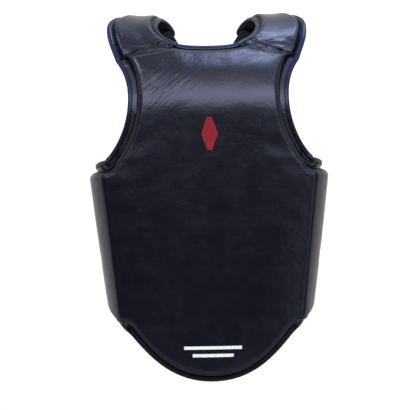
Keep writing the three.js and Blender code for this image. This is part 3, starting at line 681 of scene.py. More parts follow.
def groove_at(distance, flange, width=7.0):
    """1 in the groove at the foot of a pad's rounded edge, 0 elsewhere: the mask of painted shade that
    dulls the leather's shine there.
    """
    past = distance - flange
    return smooth((past + 1.2) / 1.2) * (1 - smooth((past - 0.4 * width) / width))


def gusset(share):
    """Half width of the unpadded leather in the shoulder crease, widest at the neck."""
    return lerp(9.5, 0.6, smooth(share * 1.15))


def edge_heights(pad, free, seam, thick, rise, groove_width, sharp):
    """Outer heights of a pad from its distances to the free edges and to the shoulder seam.

    free has the distance, the width of the flat flange and the radius of the rounded edge. rise has
    the radius and the thickness above the seam, where the pads rise out of the unpadded crease.
    """
    to_seam, at_seam = seam
    fold = gusset(at_seam)
    # The mask of painted shade: along the rounded edges, and fainter beside the shoulder seam.
    pad.grooves = np.max([groove_at(d, flange, groove_width) for d, flange, _ in free], axis=0)
    pad.grooves = np.maximum(pad.grooves, 0.6 * groove_at(to_seam, fold, 2.5))
    edges = [roll(distance, flange, radius, thick) for distance, flange, radius in free]
    return soft_min([*edges, roll(to_seam, fold, *rise, base=9, power=2.0)], sharp)


def torso_heights(pad, thick):
    """Outer heights of chest or wing over their grids."""
    right = pad.points * np.where(pad.points[..., :1] < 0, [-1, 1, 1], [1, 1, 1])
    to_hem, at_hem = distance_to(right, hem_line)
    to_arm, at_arm = distance_to(right, armhole_line)
    to_top, at_top = distance_to(right, wing_top_line)
    to_seam, at_seam = distance_to(right, seam_line)
    arm_share = at_arm / (len(armhole_line) - 1)
    free = [
        (to_hem, lerp(7.5, 12.0, smooth(at_hem / HALF_COLUMNS * 1.2 - 0.1)), 11),
        (distance_to(right, rear_line)[0], 9, 14),
        (to_top, lerp(16, 10, smooth(at_top / len(wing_top_line) * 1.6)), 12),
        (to_arm, lerp(14.5, 10.0, smooth((arm_share - 0.75) / 0.25)), 15),
        (distance_to(right, neck_line)[0], 10.0, 18),
    ]
    seam = to_seam, at_seam / (len(seam_line) - 1)
    return edge_heights(pad, free, seam, thick, (13, thick), 7.0, 5.0)


def cap_heights(pad):
    edges = [(pad.points[0], 6.5), (pad.points[-1], 9.0), (pad.points[:, -1], 8.0)]
    free = [(distance_to(pad.points, line)[0], flange, 9) for line, flange in edges]
    to_seam, at_seam = distance_to(pad.points, pad.points[:, 0])
    seam = to_seam, at_seam / (len(pad.points) - 1)
    return edge_heights(pad, free, seam, CAP_THICK, (8, CAP_THICK + 2.5), 3.6, 3.0)


shoulder.heights = cap_heights(shoulder)
neck_share = smooth((chest.grid[..., 1] - THIN_FROM_Z) / THIN_OVER)
chest_thick = lerp(CHEST_THICK, NECK_THICK, neck_share)
chest.heights = mitre(chest.grid[..., 0], torso_heights(chest, chest_thick))

# The wing is as thick as the chest at their crease, and has a thickness of its own behind it.
wing_s = wing.grid[..., 0]
wing_heights = mitre(wing_s, torso_heights(wing, CHEST_THICK + 0 * wing_s))
wing_thick = lerp(WING_FRONT_THICK, WING_THICK, smooth((wing_s - CREASE_AT) / WING_THICKENS_OVER))
wing_full = (wing_heights - FLANGE) / (CHEST_THICK - FLANGE)
behind_corner = wing_s > CREASE_AT + CORNER_RADIUS * CORNER_TURN / 2
wing.heights = np.where(behind_corner, FLANGE + wing_full * (wing_thick - FLANGE), wing_heights)
wing.heights[0] = chest.heights[-1, : ARMPIT_ROW + 1]


def crease_folds(points, side, strength, reach):
    """Crumples of the leather beside the shoulder crease, one or two of them long ones."""
    from_seam, _ = distance_to(points, seam_line)
    near = np.exp(-((from_seam / reach) ** 2)) * np.clip(from_seam / 3, 0, 1)
    turned = flip_x(points, side) @ np.array([[1, 0.3, 0], [0, 1, 0.4], [0.3, 0, 1.0]])
    crumple = value_noise(turned * [0.4, 1, 1], 9, 11 + side) + 0.5 * value_noise(turned, 4.5, 5 + side)
    pleats = np.abs(value_noise(turned * [0.3, 1, 1], 11, 21 + side))
    return strength * near * (crumple - 1.4 * np.exp(-((pleats / 0.16) ** 2)))


def upper_wrinkles(points):
    """Ripples of the leather over the bend of the upper chest, fine ones on the left-hand side."""
    x, z = points[..., 0], points[..., 2]
    slanted = np.stack([(x * 0.73 + z * 0.68) * 0.22, x * -0.68 + z * 0.73, 0 * x], -1)
    patch = np.exp(-(((x + 68) / 34) ** 2) - ((z - 452) / 26) ** 2)
    over = smooth((z - 385) / 40) * (1 - smooth((z - 500) / 20))
    level = np.stack([x * 0.5, z * 0.9, 0 * x], -1)
    broad = 0.38 * value_noise(level, 22, 8) + 0.16 * value_noise(level, 9, 9)
    return 0.5 * patch * value_noise(slanted, 4.0, 3) + over * broad


SWELL_LIMIT, SWELL_SHARE = 6.0, 0.22
SHELL_VOXEL, CLOTH_FRAMES, NEIGHBOURS = 0.0055, 20, 5
FAR_INSIDE, HELD_BELOW = 5, 0.25  # shell points that are held: mm from the leather, and its freedom
EASE = 14  # mm over which a pad's leather comes free of its crease
CLOTH = {
    "quality": 5, "mass": 0.3, "tension_stiffness": 25, "compression_stiffness": 25,
    "shear_stiffness": 10, "bending_stiffness": 1.5, "air_damping": 4, "use_pressure": True,
    "uniform_pressure_force": 4, "shrink_min": -0.02, "vertex_group_mass": "held",
}


def places_of(mesh):
    """The places of a mesh's vertices, in mm."""
    flat = np.zeros(len(mesh.vertices) * 3)
    mesh.vertices.foreach_get("co", flat)
    return flat.reshape(-1, 3) * 1000


def cloth_swell(pad, outer, free):
    """How far pressure under the leather moves each outer point along its normal, in mm.

    A coarse closed copy of the pad is run as cloth. The points where free is low stay put.
    """
    scene = bpy.context.scene
    source = slab_object("swell_source", outer, pad.at(COVER_FOOT), pad.grid, ALL_SIDES, cover_look)
    remesh = source.modifiers.new("remesh", "REMESH")
    remesh.mode, remesh.voxel_size = "VOXEL", SHELL_VOXEL
    graph = bpy.context.evaluated_depsgraph_get()
    mesh = bpy.data.meshes.new_from_object(source.evaluated_get(graph))
    shell = bpy.data.objects.new("swell_shell", mesh)
    scene.collection.objects.link(shell)
    rest = places_of(mesh)
    flat, freedom = outer.reshape(-1, 3), free.ravel()
    held = shell.vertex_groups.new(name="held")
    tree = tree_of(flat)
    for k, point in enumerate(rest):
        _, at, gap = tree.find(point)
        if gap > FAR_INSIDE or freedom[at] < HELD_BELOW:
            held.add([k], 1.0, "REPLACE")
    cloth = shell.modifiers.new("cloth", "CLOTH")
    for key, value in CLOTH.items():
        setattr(cloth.settings, key, value)
    cloth.settings.effector_weights.gravity = 0
    cloth.collision_settings.use_self_collision = False
    for number in range(1, CLOTH_FRAMES + 1):
        scene.frame_set(number)
    moved = places_of(shell.evaluated_get(bpy.context.evaluated_depsgraph_get()).data) - rest
    size = np.linalg.norm(moved, axis=1, keepdims=True)
    moved = moved * np.minimum(1, SWELL_LIMIT / np.maximum(size, 1e-6))
    scene.frame_set(1)
    for made in (shell, source):
        bpy.data.objects.remove(made, do_unlink=True)
    swell = np.zeros((len(flat), 3))
    tree = tree_of(rest)
    for k, point in enumerate(flat):
        near = tree.find_n(point, NEIGHBOURS)
        weights = np.array([1 / (gap + 1.0) ** 2 for _, _, gap in near])
        swell[k] = (moved[[at for _, at, _ in near]] * weights[:, None]).sum(0) / weights.sum()
    out = (swell.reshape(outer.shape) * pad.normals).sum(-1)
    for _ in range(2):
        out[1:-1] = (out[:-2] + 2 * out[1:-1] + out[2:]) / 4
        out[:, 1:-1] = (out[:, :-2] + 2 * out[:, 1:-1] + out[:, 2:]) / 4
    return SWELL_SHARE * out * free


def looseness(pad, thick):
    """1 over the face of a pad, falling to 0 towards its flanges and seams."""
    return smooth((pad.heights / thick - 0.55) / 0.4)


def finish_piece(made, body, replaces=(), blend=None):
    if replaces:
        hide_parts(*replaces)
    if blend:
        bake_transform(made)
    else:
        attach(made, body)


SEAM_AXIS = unit(torso(*SHOULDER_PATH[1]) - torso(*SHOULDER_PATH[0]))
SEAM_MIDDLE = (torso(*SHOULDER_PATH[1]) + torso(*SHOULDER_PATH[0])) / 2
INTO_CAP = square_to(cap(0.5, 0.06) - cap(0.5, 0.0), SEAM_AXIS)


WING_BEND = np.array([(150, -100, 200), (150, -70, 200)])  # two points along a wing's side
CAP_BEND = np.array([SEAM_MIDDLE + into * INTO_CAP for into in (2, 30)])


def wing_blend(side):
    return f"wing_{name_of(side)}", *flip_x(WING_BEND, side)


def cap_blend(side):
    return f"shoulder_{name_of(side)}", *flip_x(CAP_BEND, side)


def meet_at_crease(chest_outer, cap_outer, side):
    """Draws the outer edges of the front and of a cap together along the shoulder crease."""
    last = len(chest_outer) - 1
    columns = np.arange(CORNER_COLUMN, last + 1)
    columns = columns if side > 0 else last - columns
    chest_edge, cap_edge = chest_outer[columns, -1].copy(), cap_outer[:, 0].copy()
    lengths = [running_length(line) for line in (seam_line, shoulder.points[:, 0])]
    chest_at, cap_at = (length / length[-1] for length in lengths)
    to_cap = along_curve((cap_edge, cap_at), chest_at) - chest_edge
    to_chest = along_curve((chest_edge, chest_at), cap_at) - cap_edge
    for k, line in enumerate(SEAM_LINES[:9]):
        share = 0.5 * (1 - smooth(line / SEAM_LINES[8]))
        chest_outer[columns, -1 - k] += to_cap * share
        cap_outer[:, k] += to_chest * share


def pad_and_lining(pad, part, outer, uv, sides, foams, side=0, blend=None):
    """A pad's leather over its foam, and the lining under them; side is 0 for the chest."""
    tail = f"_{name_of(side)}" if side else ""
    made = slab_object(
        f"{part}_pad{tail}", outer, pad.at(COVER_FOOT), uv, sides, cover_look, side, pad.grooves
    )
    nodes = [f"{part}_{layer}{tail}" for layer in ("cover", *foams)]
    finish_piece(made, "chest", nodes, blend)
    made = slab_object(
        f"{part}_inner_lining{tail}", pad.at(LINING), pad.points, uv, ALL_SIDES, lining_look, side
    )
    finish_piece(made, "chest", [f"{part}_lining{tail}"], blend)


CHEST_FOLDS, CHEST_FOLD_REACH, CAP_FOLD_REACH = 0.7, 18, 24


def build_pads():
    chest_free = looseness(chest, chest_thick)
    from_crease = smooth((CREASE_AT - np.abs(chest.grid[..., 0])) / EASE)
    swell = cloth_swell(chest, chest.at(chest.heights), chest_free * from_crease)
    chest.heights = chest.heights + swell + upper_wrinkles(chest.points) * chest_free
    chest_outer = chest.at(chest.heights)
    free = looseness(wing, wing_thick) * smooth((wing_s - CREASE_AT - 4) / EASE)
    wing_outer = wing.at(wing.heights + cloth_swell(wing, wing.at(wing.heights), free))
    free = looseness(shoulder, CAP_THICK) * smooth(shoulder.grid[..., 1] * 12 - 0.5)
    cap_swell = cloth_swell(shoulder, shoulder.at(shoulder.heights), free)
    cap_outers = {}
    for side, cap_folds in ((1, 1.5), (-1, 0.9)):
        columns = slice(HALF_COLUMNS, None) if side > 0 else slice(0, HALF_COLUMNS + 1)
        folds = crease_folds(flip_x(chest.points[columns], side), side, CHEST_FOLDS, CHEST_FOLD_REACH)
        chest_outer[columns] += chest.normals[columns] * folds[..., None]
        folds = crease_folds(shoulder.points, side, cap_folds, CAP_FOLD_REACH)
        cap_outers[side] = flip_x(shoulder.at(shoulder.heights + cap_swell + folds), side)
    for side in (1, -1):
        meet_at_crease(chest_outer, cap_outers[side], side)
    foams = ("shock_foam", "comfort_foam")
    pad_and_lining(chest, "chest", chest_outer, chest.grid, ("low", "high"), foams)
    for side in (1, -1):
        uv = wing.grid * [side, 1]
        sides = ("low", "last", "high")
        pad_and_lining(wing, "wing", wing_outer, uv, sides, ("foam",), side, wing_blend(side))
        uv = shoulder.grid * [CAP_UV_WIDTH, CAP_LENGTH]
        outer = flip_x(cap_outers[side], side)
        pad_and_lining(
            shoulder, "shoulder", outer, uv, ALL_SIDES, ("foam",), side, cap_blend(side)
        )


build_pads()

# ------------------------------------------------------------------ bindings and stitches

# Share of the tape's width, and height above the inner face in mm.
TAPE_SECTION = [
    (1.0, 4.1), (0.8, 4.75), (0.5, 4.9), (0.22, 4.75), (0.05, 4.3), (-0.1, 3.2), (-0.14, 1.65),
    (-0.1, 0.1), (0.05, -1.0), (0.22, -1.4), (0.5, -1.5), (0.8, -1.4), (1.0, -0.9),
    (1.0, -0.15), (0.5, -0.15), (0.12, -0.1), (0.06, 1.65), (0.12, 3.4), (0.5, 3.45), (1.0, 3.45),
]
TAPE_MIDDLE, TAPE_TOP = 1.65, 4.75
TAPE_PUFF, PUCKER_PITCH, PUFF_COUNT = 0.18, 7.0, 40
STATION = 2.4
STITCH_PITCH, STITCH_RADIUS = 3.6, 0.36
STITCH_RINGS = [(-1.25, 0.25, -0.3), (-0.9, 1, 0.05), (0.9, 1, 0.05), (1.25, 0.25, -0.3)]


def edge_frames(points, inner, normals):
    """Even stations on an edge: its point, the direction into the panel and the outward normal."""
    length = running_length(points)
    count = max(3, int(round(length[-1] / STATION)))
    at = np.linspace(0, length[-1], count + 1)
    edge, inside, normal = (along_curve((values, length), at) for values in (points, inner, normals))
    normal = unit(normal)
    for _ in range(6):
        normal[1:-1] = unit(normal[:-2] + 2 * normal[1:-1] + normal[2:])
    tangent = unit(np.gradient(edge, axis=0))
    inward = square_to(square_to(inside - edge, normal), tangent)
    return {"edge": edge, "inward": inward, "normal": normal, "length": at, "tangent": tangent}


def tape_rings(frames, width, seed):
    """The tape's section at each station, puckered by its seam and puffed here and there."""
    share, y = np.array(TAPE_SECTION).T
    rng = np.random.default_rng(seed)
    length = frames["length"]
    pucker = TAPE_PUFF * np.sin(length * 2 * np.pi / PUCKER_PITCH + rng.uniform(0, 6)) * 0.5
    places = np.linspace(0, length[-1], PUFF_COUNT)
    pucker = pucker + TAPE_PUFF * np.interp(length, places, rng.uniform(-1, 1, PUFF_COUNT))
    from_middle = y - TAPE_MIDDLE
    soft = (np.abs(from_middle) > 2) & (share < 0.95) & (share > 0.2)
    y = y + pucker[:, None] * soft * np.sign(from_middle)
    across = frames["inward"][:, None] * (share * width)[None, :, None]
    return frames["edge"][:, None] + across + frames["normal"][:, None] * y[..., None]


def tape(part, frames, width, seed, side=0, body="chest", blend=None, look=binding_look):
    """The binding folded over an edge; side is 0 where it runs over both sides."""
    tail = f"_{name_of(side)}" if side else ""
    rings = tape_rings(frames, width, seed + side)
    points, faces = loft(rings)
    size = rings.shape[1]
    along, round_it = np.repeat(frames["length"], size), np.tile(np.linspace(0, 30, size), len(rings))
    made = new_object(f"{part}_tape{tail}", points, faces, look, np.stack([along, round_it], -1), side)
    finish_piece(made, body, [f"{part}_binding{tail}"], blend)


def stitches(name, frames, inset, height, side=1, look=navy_thread_look):
    """A row of short threads along an edge, each a rounded capsule that dips into the leather."""
    total = frames["length"][-1]
    count = int(total / STITCH_PITCH)
    at = (np.arange(count) + 0.5) * total / count
    keys = ("edge", "normal", "tangent", "inward")
    edge, *axes = (along_curve((frames[key], frames["length"]), at) for key in keys)
    normal, tangent, inward = map(unit, axes)
    centre = edge + inward * inset + normal * height
    angles = -np.arange(6)[:, None] * math.pi / 3
    around = inward[:, None] * np.cos(angles) + normal[:, None] * np.sin(angles)
    rings = [
        (centre + tangent * along + normal * up)[:, None] + around * STITCH_RADIUS * size
        for along, size, up in STITCH_RINGS
    ]
    rings = np.stack(rings, 1)
    _, capsule = loft(rings[0])
    step = rings[0, ..., 0].size
    faces = [np.array(face) + k * step for k in range(count) for face in capsule]
    finish_piece(new_object(name, rings.reshape(-1, 3), faces, look, side=side), "chest")


def grid_edge(pad, which, start=None, stop=None, depth=4):
    """Points and normals along one side of a pad's grid, and the points a few lines further in."""
    edge, inside = {
        "low": (np.s_[:, 0], np.s_[:, depth]),
        "high": (np.s_[:, -1], np.s_[:, -1 - depth]),
        "first": (np.s_[0], np.s_[depth]),
        "last": (np.s_[-1], np.s_[-1 - depth]),
    }[which]
    part = slice(start, stop)
    return pad.points[edge][part], pad.points[inside][part], pad.normals[edge][part]


def joined(first, second):
    return [np.concatenate([a, b[1:]]) for a, b in zip(first, second)]


def cut_at(frames, point):
    """The two parts of a run on either side of the station nearest to a point."""
    at = int(np.linalg.norm(frames["edge"] - point, axis=1).argmin())
    parts = [{key: v[part] for key, v in frames.items()} for part in (slice(at + 1), slice(at, None))]
    parts[1]["length"] = parts[1]["length"] - parts[1]["length"][0]
    return parts


def both_sides(half):
    """A run that starts on the centre line, and its mirror image, as one run from left to right."""
    turns = {"edge": [-1, 1, 1], "inward": [-1, 1, 1], "normal": [-1, 1, 1], "tangent": [1, -1, -1]}
    whole = {key: np.concatenate([half[key][:0:-1] * turn, half[key]]) for key, turn in turns.items()}
    length = half["length"]
    whole["length"] = np.concatenate([length[-1] - length[:0:-1], length[-1] + length])
    return whole


def build_edges():
    """Neckline and armholes run on into the caps' edges; each run is cut at the shoulder crease."""
    neck = joined(grid_edge(chest, "high", HALF_COLUMNS, CORNER_COLUMN + 1), grid_edge(shoulder, "first"))
    arm = joined(grid_edge(chest, "last", ARMPIT_ROW), grid_edge(shoulder, "last"))
    neckline, cap_neck = cut_at(edge_frames(*neck), torso(*SHOULDER_PATH[0]))
    armhole, cap_arm = cut_at(edge_frames(*arm), torso(*SHOULDER_PATH[1]))
    cap_end = edge_frames(*grid_edge(shoulder, "high", 3, -3))
    wing_hem, wing_top = (edge_frames(*grid_edge(wing, which, 0, -6)) for which in ("low", "high"))
    wing_rear = edge_frames(*grid_edge(wing, "last"))
    neckline = both_sides(neckline)
    hem = both_sides(edge_frames(*grid_edge(chest, "low", HALF_COLUMNS)))
    tape("neckline", neckline, 7.5, 1)
    stitches("neckline_stitches", neckline, 6.4, TAPE_TOP)
    tape("hem", hem, 7.0, 2, look=hem_shade_look)
    stitches("hem_stitches", hem, 5.8, TAPE_TOP)
    for side in (1, -1):
        name = name_of(side)
        fold, bend = cap_blend(side), wing_blend(side)
        tape("armhole", armhole, 6.5, 3, side)
        stitches(f"armhole_stitches_{name}", armhole, 9.6, FLANGE + 0.1, side, thread_look)
        stitches(f"armhole_tape_stitches_{name}", armhole, 5.4, TAPE_TOP, side)
        tape("shoulder_neck", cap_neck, 6.5, 8, side, blend=fold)
        tape("shoulder_arm", cap_arm, 7.5, 10, side, blend=fold)
        tape("shoulder_end", cap_end, 7.0, 12, side, f"shoulder_{name}")
        tape("wing_hem", wing_hem, 7.0, 14, side, blend=bend, look=hem_shade_look)
        tape("wing_top", wing_top, 7.0, 16, side, blend=bend)
        tape("wing_rear", wing_rear, 7.0, 18, side, f"wing_{name}")


build_edges()

# ------------------------------------------------------------------ emblem and stripes


def decal(name, grid, lift, thick, look, replaces=()):
    """A thin sheet of thread or print laid on the front, from a grid of its (x, z) in mm."""
    s = np.array([[on_front(p)[0] for p in row] for row in grid])
    z = grid[..., 1]
    base, normal = torso(s, z), normals_of(torso, s, z, 0.05)
    tree, heights = tree_of(chest.points.reshape(-1, 3)), chest.heights.ravel()
    under = [np.mean([heights[k] for _, k, _ in tree.find_n(p, 4)]) for p in base.reshape(-1, 3)]
    under = np.array(under).reshape(s.shape)[..., None]
    top, foot = base + normal * (under + lift + thick), base + normal * (under + lift - 0.8)
    made = slab_object(name, top, foot, grid, ALL_SIDES, look)
    made.data.shade_flat()
    finish_piece(made, "chest", replaces)


STRIPES, STRIPE_HALF_HEIGHT = (("upper", 41, 52.5), ("lower", 29, 41)), 2.4  # name, half width, z
EMBLEM_Z, EMBLEM_HALF_HEIGHT, EMBLEM_HALF_WIDTHS = 372.5, 25, (12, 3.5)


def build_marks():
    across, up = np.meshgrid(np.linspace(-1, 1, 25), np.linspace(-1, 1, 15), indexing="ij")
    for name, half, z in STRIPES:
        bar = np.stack([across * half, z + up * STRIPE_HALF_HEIGHT], -1)[:, ::7]
        decal(f"hem_stripe_{name}", bar, 0.12, 0.3, print_look)
    width = lerp(*EMBLEM_HALF_WIDTHS, np.abs(up))
    lozenge = np.stack([across * width, EMBLEM_Z + up * EMBLEM_HALF_HEIGHT], -1)
    decal("emblem_mark", lozenge, 0.2, 0.9, emblem_look, ("emblem_patch",))


build_marks()

# ------------------------------------------------------------------ straps, rings and patches

SEWN_GAP = 3.3
SEWN_UNDER = -SEWN_GAP - STRAP_THICK / 2  # height of the middle of a strap sewn under a panel
WRAP_FROM, WRAP_STEPS, WRAP_PITCH = 25, 8, 1.4
WRAP_BLEND = np.array([-23, -3])  # distances from the path's end
JOIN_GAP, PIECE_LENGTH = 0.15, 4


def edge_frame(z, tilt):
    """Origin, outward, sideways and normal directions of a strap that leaves the wing's rear edge."""
    end = CREASE_AT + WING_LENGTH
    origin = torso(end, z)
    back = unit(torso(end, z) - torso(end - 1, z))
    up = unit(torso(end, z + 1) - torso(end, z - 1))
    normal = unit(np.cross(back, up))
    out = unit(back * math.cos(tilt) + up * math.sin(tilt))
    return origin, out, np.cross(normal, out), normal


def strap_path(knots, place):
    """A strap's curve to the bar of the ring at that place; three more columns say where it faces."""
    origin, out, _, normal = place
    bar = [origin + out * r - normal * (CHAPE_DROP + WRAP_RADIUS) for r in (BAR_REACH + 14, BAR_REACH)]
    return catmull([[*point, *facing] for point, facing in [*knots, *((b, normal) for b in bar)]])


def cross_path(level):
    y = CROSSING[1] + level * LEVEL_STEP
    flat = [(-40, 60), (-27, 40), (-13, 19), (0, 0), (14, -12), (29, -25), (44, -38)]

    def under_cap(along, reach=0):
        step = 0.01
        across = cap(0.5 + step, along) - cap(0.5 - step, along)
        rearward = unit(cap(0.5, min(along, 1)) - cap(0.5, along - step))
        normal = unit(np.cross(across, rearward))
        point = cap(0.5, along) + normal * SEWN_UNDER + rearward * reach
        return flip_x(point, -1), flip_x(normal, -1)

    knots = [
        under_cap(0.91),
        under_cap(1.0),
        under_cap(1.0, 8),
        ((-57, y - 15, 500), (-0.2, 0.93, 0.3)),
        *[((x, y, CROSSING[2] + z), (0, 1, 0)) for x, z in flat],
        ((77, y - 20, 348), (0.5, 0.86, 0.05)),
    ]
    return strap_path(knots, CROSS_PLACE)


def waist_path():
    origin, out, _, normal = WAIST_PLACE
    sewn = [origin + out * reach + normal * SEWN_UNDER for reach in (-CHAPE_LENGTH, 0, 14)]
    knots = [
        *[(flip_x(point, -1), flip_x(normal, -1)) for point in sewn],
        ((-72, 66, WAIST_Z), (-0.6, 0.8, 0)),
        ((-38, 90, WAIST_Z), (-0.3, 0.95, 0)),
        ((0, 99, WAIST_Z), (0, 1, 0)),
        ((38, 89, WAIST_Z), (0.3, 0.95, 0)),
    ]
    return strap_path(knots, WAIST_PLACE)


def ribbon_frames(path, start, end):
    """Stations along a path: points, tangents, outward normals and distances."""
    count = max(2, int((end - start) / PIECE_LENGTH))
    at = np.linspace(start, end, count + 1)
    values = along_curve(path, at)
    ahead = along_curve(path, np.minimum(at + 0.5, path[1][-1]))[:, :3]
    behind = along_curve(path, np.maximum(at - 0.5, 0))[:, :3]
    tangent = unit(ahead - behind)
    return values[:, :3], tangent, square_to(values[:, 3:], tangent), at


def wrap_frames(path, place):
    """Stations of the strap's last stretch and of its half turn round the ring's bar."""
    origin, out, _, normal = place
    total = path[1][-1]
    centre = origin + out * BAR_REACH - normal * CHAPE_DROP
    steps = np.arange(WRAP_STEPS) + 1
    cos, sin = (turn(np.pi * steps / WRAP_STEPS)[:, None] for turn in (np.cos, np.sin))
    away = -cos * normal - sin * out
    straight = ribbon_frames(path, total - WRAP_FROM, total)
    half_turn = centre + away * WRAP_RADIUS, -cos * out + sin * normal, -away, total + steps * WRAP_PITCH
    return [np.concatenate(pair) for pair in zip(straight, half_turn)]


def ribbon(name, frames, side):
    """A strap of webbing with softly rounded edges."""
    points, tangent, normal, at = frames
    half, depth = STRAP_WIDTH / 2, STRAP_THICK / 2
    across = np.cross(normal, tangent)
    xs = half * np.array([-1, -0.985, -0.93, -0.5, 0, 0.5, 0.93, 0.985])
    top = [0, 0.75, 1, 1, 1, 1, 1, 0.75]
    section = [(x, t * depth) for x, t in zip(xs, top)] + [(half, 0)]
    section += [(-x, -t * depth) for x, t in zip(xs[1:], top[1:])]
    section = np.array(section)[::-1]
    rings = points[:, None] + across[:, None] * section[:, :1] + normal[:, None] * section[:, 1:]
    flat, faces = loft(rings)
    uv = np.stack([np.repeat(at, len(section)), np.tile(section[:, 0], len(at))], -1)
    return new_object(name, flat, faces, webbing_look, uv, side)


def strap(name, path, frames, body, node, blend, side=1):
    """A piece of strap along part of its path; it hides its CAD node if one is given."""
    other, *distances = blend
    start, end = (flip_x(along_curve(path, distance)[:3], side) for distance in distances)
    made = ribbon(name, frames, side)
    finish_piece(made, body, (node,) if node else (), (other, start, end))


def strap_ends(path):
    """Distances along a path to the centre plane, to the start of its wrap and to its end."""
    line, length = path
    middle, total = float(np.interp(0, line[:, 0], length)), length[-1]
    return middle, total - WRAP_FROM, total


def build_cross_strap(side, level):
    name, other = name_of(side), name_of(-side)
    path = cross_path(level)
    middle, wrap, total = strap_ends(path)
    frames = ribbon_frames(path, 0, middle - JOIN_GAP)
    node = f"cross_strap_upper_{other}"
    strap(f"cross_strap_from_{other}", path, frames, f"shoulder_{other}", node, ("chest", 18, 75), side)
    frames = ribbon_frames(path, middle + JOIN_GAP, wrap)
    node, blend = f"cross_strap_lower_{name}", ("chest", total - 125, middle + 45)
    strap(f"cross_strap_to_{name}", path, frames, f"wing_{name}", node, blend, side)
    frames = wrap_frames(path, CROSS_PLACE)
    blend = f"ring_cross_{name}", *(total + WRAP_BLEND)
    strap(f"cross_strap_wrap_{name}", path, frames, f"wing_{name}", None, blend, side)


def build_waist_strap():
    path = waist_path()
    middle, wrap, total = strap_ends(path)
    frames = ribbon_frames(path, 0, middle)
    strap("waist_strap_left", path, frames, "wing_left", None, ("chest", 40, middle - 4))
    frames = ribbon_frames(path, middle, wrap)
    blend = "chest", total - 100, middle + 2
    strap("waist_strap_right", path, frames, "wing_right", "waist_strap", blend)
    frames = wrap_frames(path, WAIST_PLACE)
    strap("waist_strap_wrap", path, frames, "wing_right", None, ("ring_waist", *(total + WRAP_BLEND)))


CROSS_PLACE, WAIST_PLACE = edge_frame(CROSS_Z, CROSS_TILT), edge_frame(WAIST_Z, 0)
build_cross_strap(1, 1)
build_cross_strap(-1, 0)
build_waist_strap()

KEPT = [
    (cover_look, "cover_leather", ("crossing_patch",)),
    (webbing_look, "elastic_webbing", ("cross_strap_chape", "waist_strap_chape", "strap_tail")),
    (tape_look, "touch_tape", ("hook_tape", "loop_tape")),
    (steel_look, "ring_steel", ("cross_strap_ring", "waist_strap_ring")),
]
BEVELS = {"ring_steel": 0.0009, "cover_leather": 0.0004}


def dress_kept_nodes(look, slot, starts):
    """Gives the CAD nodes that stay in view their material, and softens their hard edges."""
    for name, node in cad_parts.items():
        if node.hide_render or not name.startswith(starts):
            continue
        node.data.materials.clear()
        node.data.materials.append(look.material)
        if slot in BEVELS:
            bevel = node.modifiers.new("bevel", "BEVEL")
            bevel.width, bevel.segments = BEVELS[slot], 3
            bevel.limit_method, bevel.angle_limit = "ANGLE", math.radians(40)


for row in KEPT:
    dress_kept_nodes(*row)

# ------------------------------------------------------------------ stage, light and camera, in m

FLOOR_RADIUS, FLOOR_Z, FLOOR_CORNERS = 1.3, -0.3, 64
LIGHT_CENTRE_Z = 0.3
CAMERA_LENS, CAMERA_SENSOR, CAMERA_DISTANCE = 120.9, 36, 2.2
CAMERA_YAW, CAMERA_ROLL = math.radians(-0.8), math.radians(-0.95)
CAMERA_AIM = Vector((-0.0065, 0, 0.2660))


def build_world(scene):
    """Light from all round: bright behind the object, brightest right behind it, and from above."""
    world = bpy.data.worlds.new("studio")
    scene.world = world
    world.use_nodes = True
    sky = Nodes(world.node_tree)
    way = sky.node("ShaderNodeSeparateXYZ", {"Vector": sky.space["Generated"]}).outputs
    behind = sky.ramp(way["Y"], -0.22, 0.6, 0.0, 0.6, "SMOOTHSTEP")
    right_behind = sky.ramp(way["Y"], 0.92, 0.972, 0.0, 0.42, "SMOOTHSTEP")
    above = sky.ramp(way["Z"], -0.02, 0.3, 0.06, 0.45, "SMOOTHSTEP")
    total = sky.math("ADD", sky.math("ADD", behind, right_behind), above)
    background = sky.tree.nodes["Background"]
    background.inputs["Color"].default_value = (1, 1, 1, 1)
    sky.tree.links.new(total, background.inputs["Strength"])


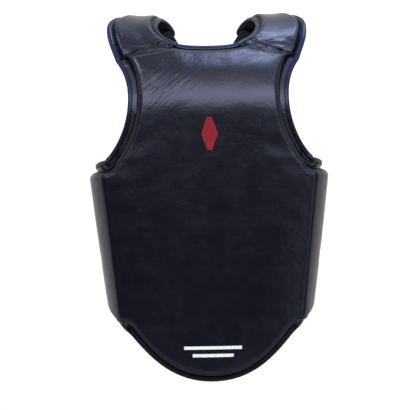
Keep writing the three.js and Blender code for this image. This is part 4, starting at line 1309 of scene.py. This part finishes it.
def softbox(name, azimuth, elevation, distance, aim_z, size, radiance, color=(1, 1, 1)):
    """An area light in a direction given in degrees, turned to a point on the upright axis."""
    a, e = math.radians(azimuth), math.radians(elevation)
    x, y = distance * math.sin(a) * math.cos(e), -distance * math.cos(a) * math.cos(e)
    place = Vector((x, y, LIGHT_CENTRE_Z + distance * math.sin(e)))
    data = bpy.data.lights.new(name, "AREA")
    data.shape = "RECTANGLE"
    data.size, data.size_y = size
    data.energy = radiance * math.pi * size[0] * size[1]
    data.color = color
    made = bpy.data.objects.new(name, data)
    made.location = place
    made.rotation_mode = "QUATERNION"
    made.rotation_quaternion = (Vector((0, 0, aim_z)) - place).to_track_quat("-Z", "Y")
    bpy.context.scene.collection.objects.link(made)


def build_lights():
    softbox("front_softbox", 0, 33, 2.6, 0.43, (4.2, 1.25), 5.2)
    softbox("upper_softbox", 0, 58, 2.5, 0.43, (4.2, 0.8), 0.65)
    softbox("overhead_softbox", 90, 66, 2.2, 0.5, (1.7, 2.0), 1.7, (0.64, 0.86, 1.35))
    softbox("rim_softbox", -72, 50, 2.3, 0.5, (0.5, 0.9), 8.0)
    softbox("top_softbox", 60, 80, 2.2, 0.5, (0.5, 0.4), 13.0, (0.9, 0.95, 1.1))
    softbox("side_softbox", 48, 8, 2.4, 0.25, (0.9, 2.2), 0.9)


def build_floor(scene):
    mesh = bpy.data.meshes.new("floor")
    turns = [2 * math.pi * k / FLOOR_CORNERS for k in range(FLOOR_CORNERS)]
    ring = [(FLOOR_RADIUS * math.cos(t), FLOOR_RADIUS * math.sin(t), FLOOR_Z) for t in turns]
    mesh.from_pydata(ring, [], [list(range(FLOOR_CORNERS))])
    look = Look("floor_paper", (0.5, 0.5, 0.5), 0.8, 0.2)
    look.vary_color(look.noise(3, 3), (0.48, 0.48, 0.48))
    mesh.materials.append(look.material)
    floor = bpy.data.objects.new("floor", mesh)
    scene.collection.objects.link(floor)


def build_camera(scene):
    data = bpy.data.cameras.new("camera")
    data.lens = CAMERA_LENS
    data.sensor_width = CAMERA_SENSOR
    camera = bpy.data.objects.new("camera", data)
    scene.collection.objects.link(camera)
    scene.camera = camera
    x, y = math.sin(CAMERA_YAW) * CAMERA_DISTANCE, -math.cos(CAMERA_YAW) * CAMERA_DISTANCE
    camera.location = CAMERA_AIM + Vector((x, y, 0))
    camera.rotation_mode = "QUATERNION"
    level = (CAMERA_AIM - camera.location).to_track_quat("-Z", "Y")
    camera.rotation_quaternion = level @ Quaternion((0, 0, 1), CAMERA_ROLL)


def build_stage():
    scene = bpy.context.scene
    scene.view_settings.view_transform = "Standard"
    scene.view_settings.look = "None"
    build_world(scene)
    build_lights()
    build_floor(scene)
    build_camera(scene)


build_stage()
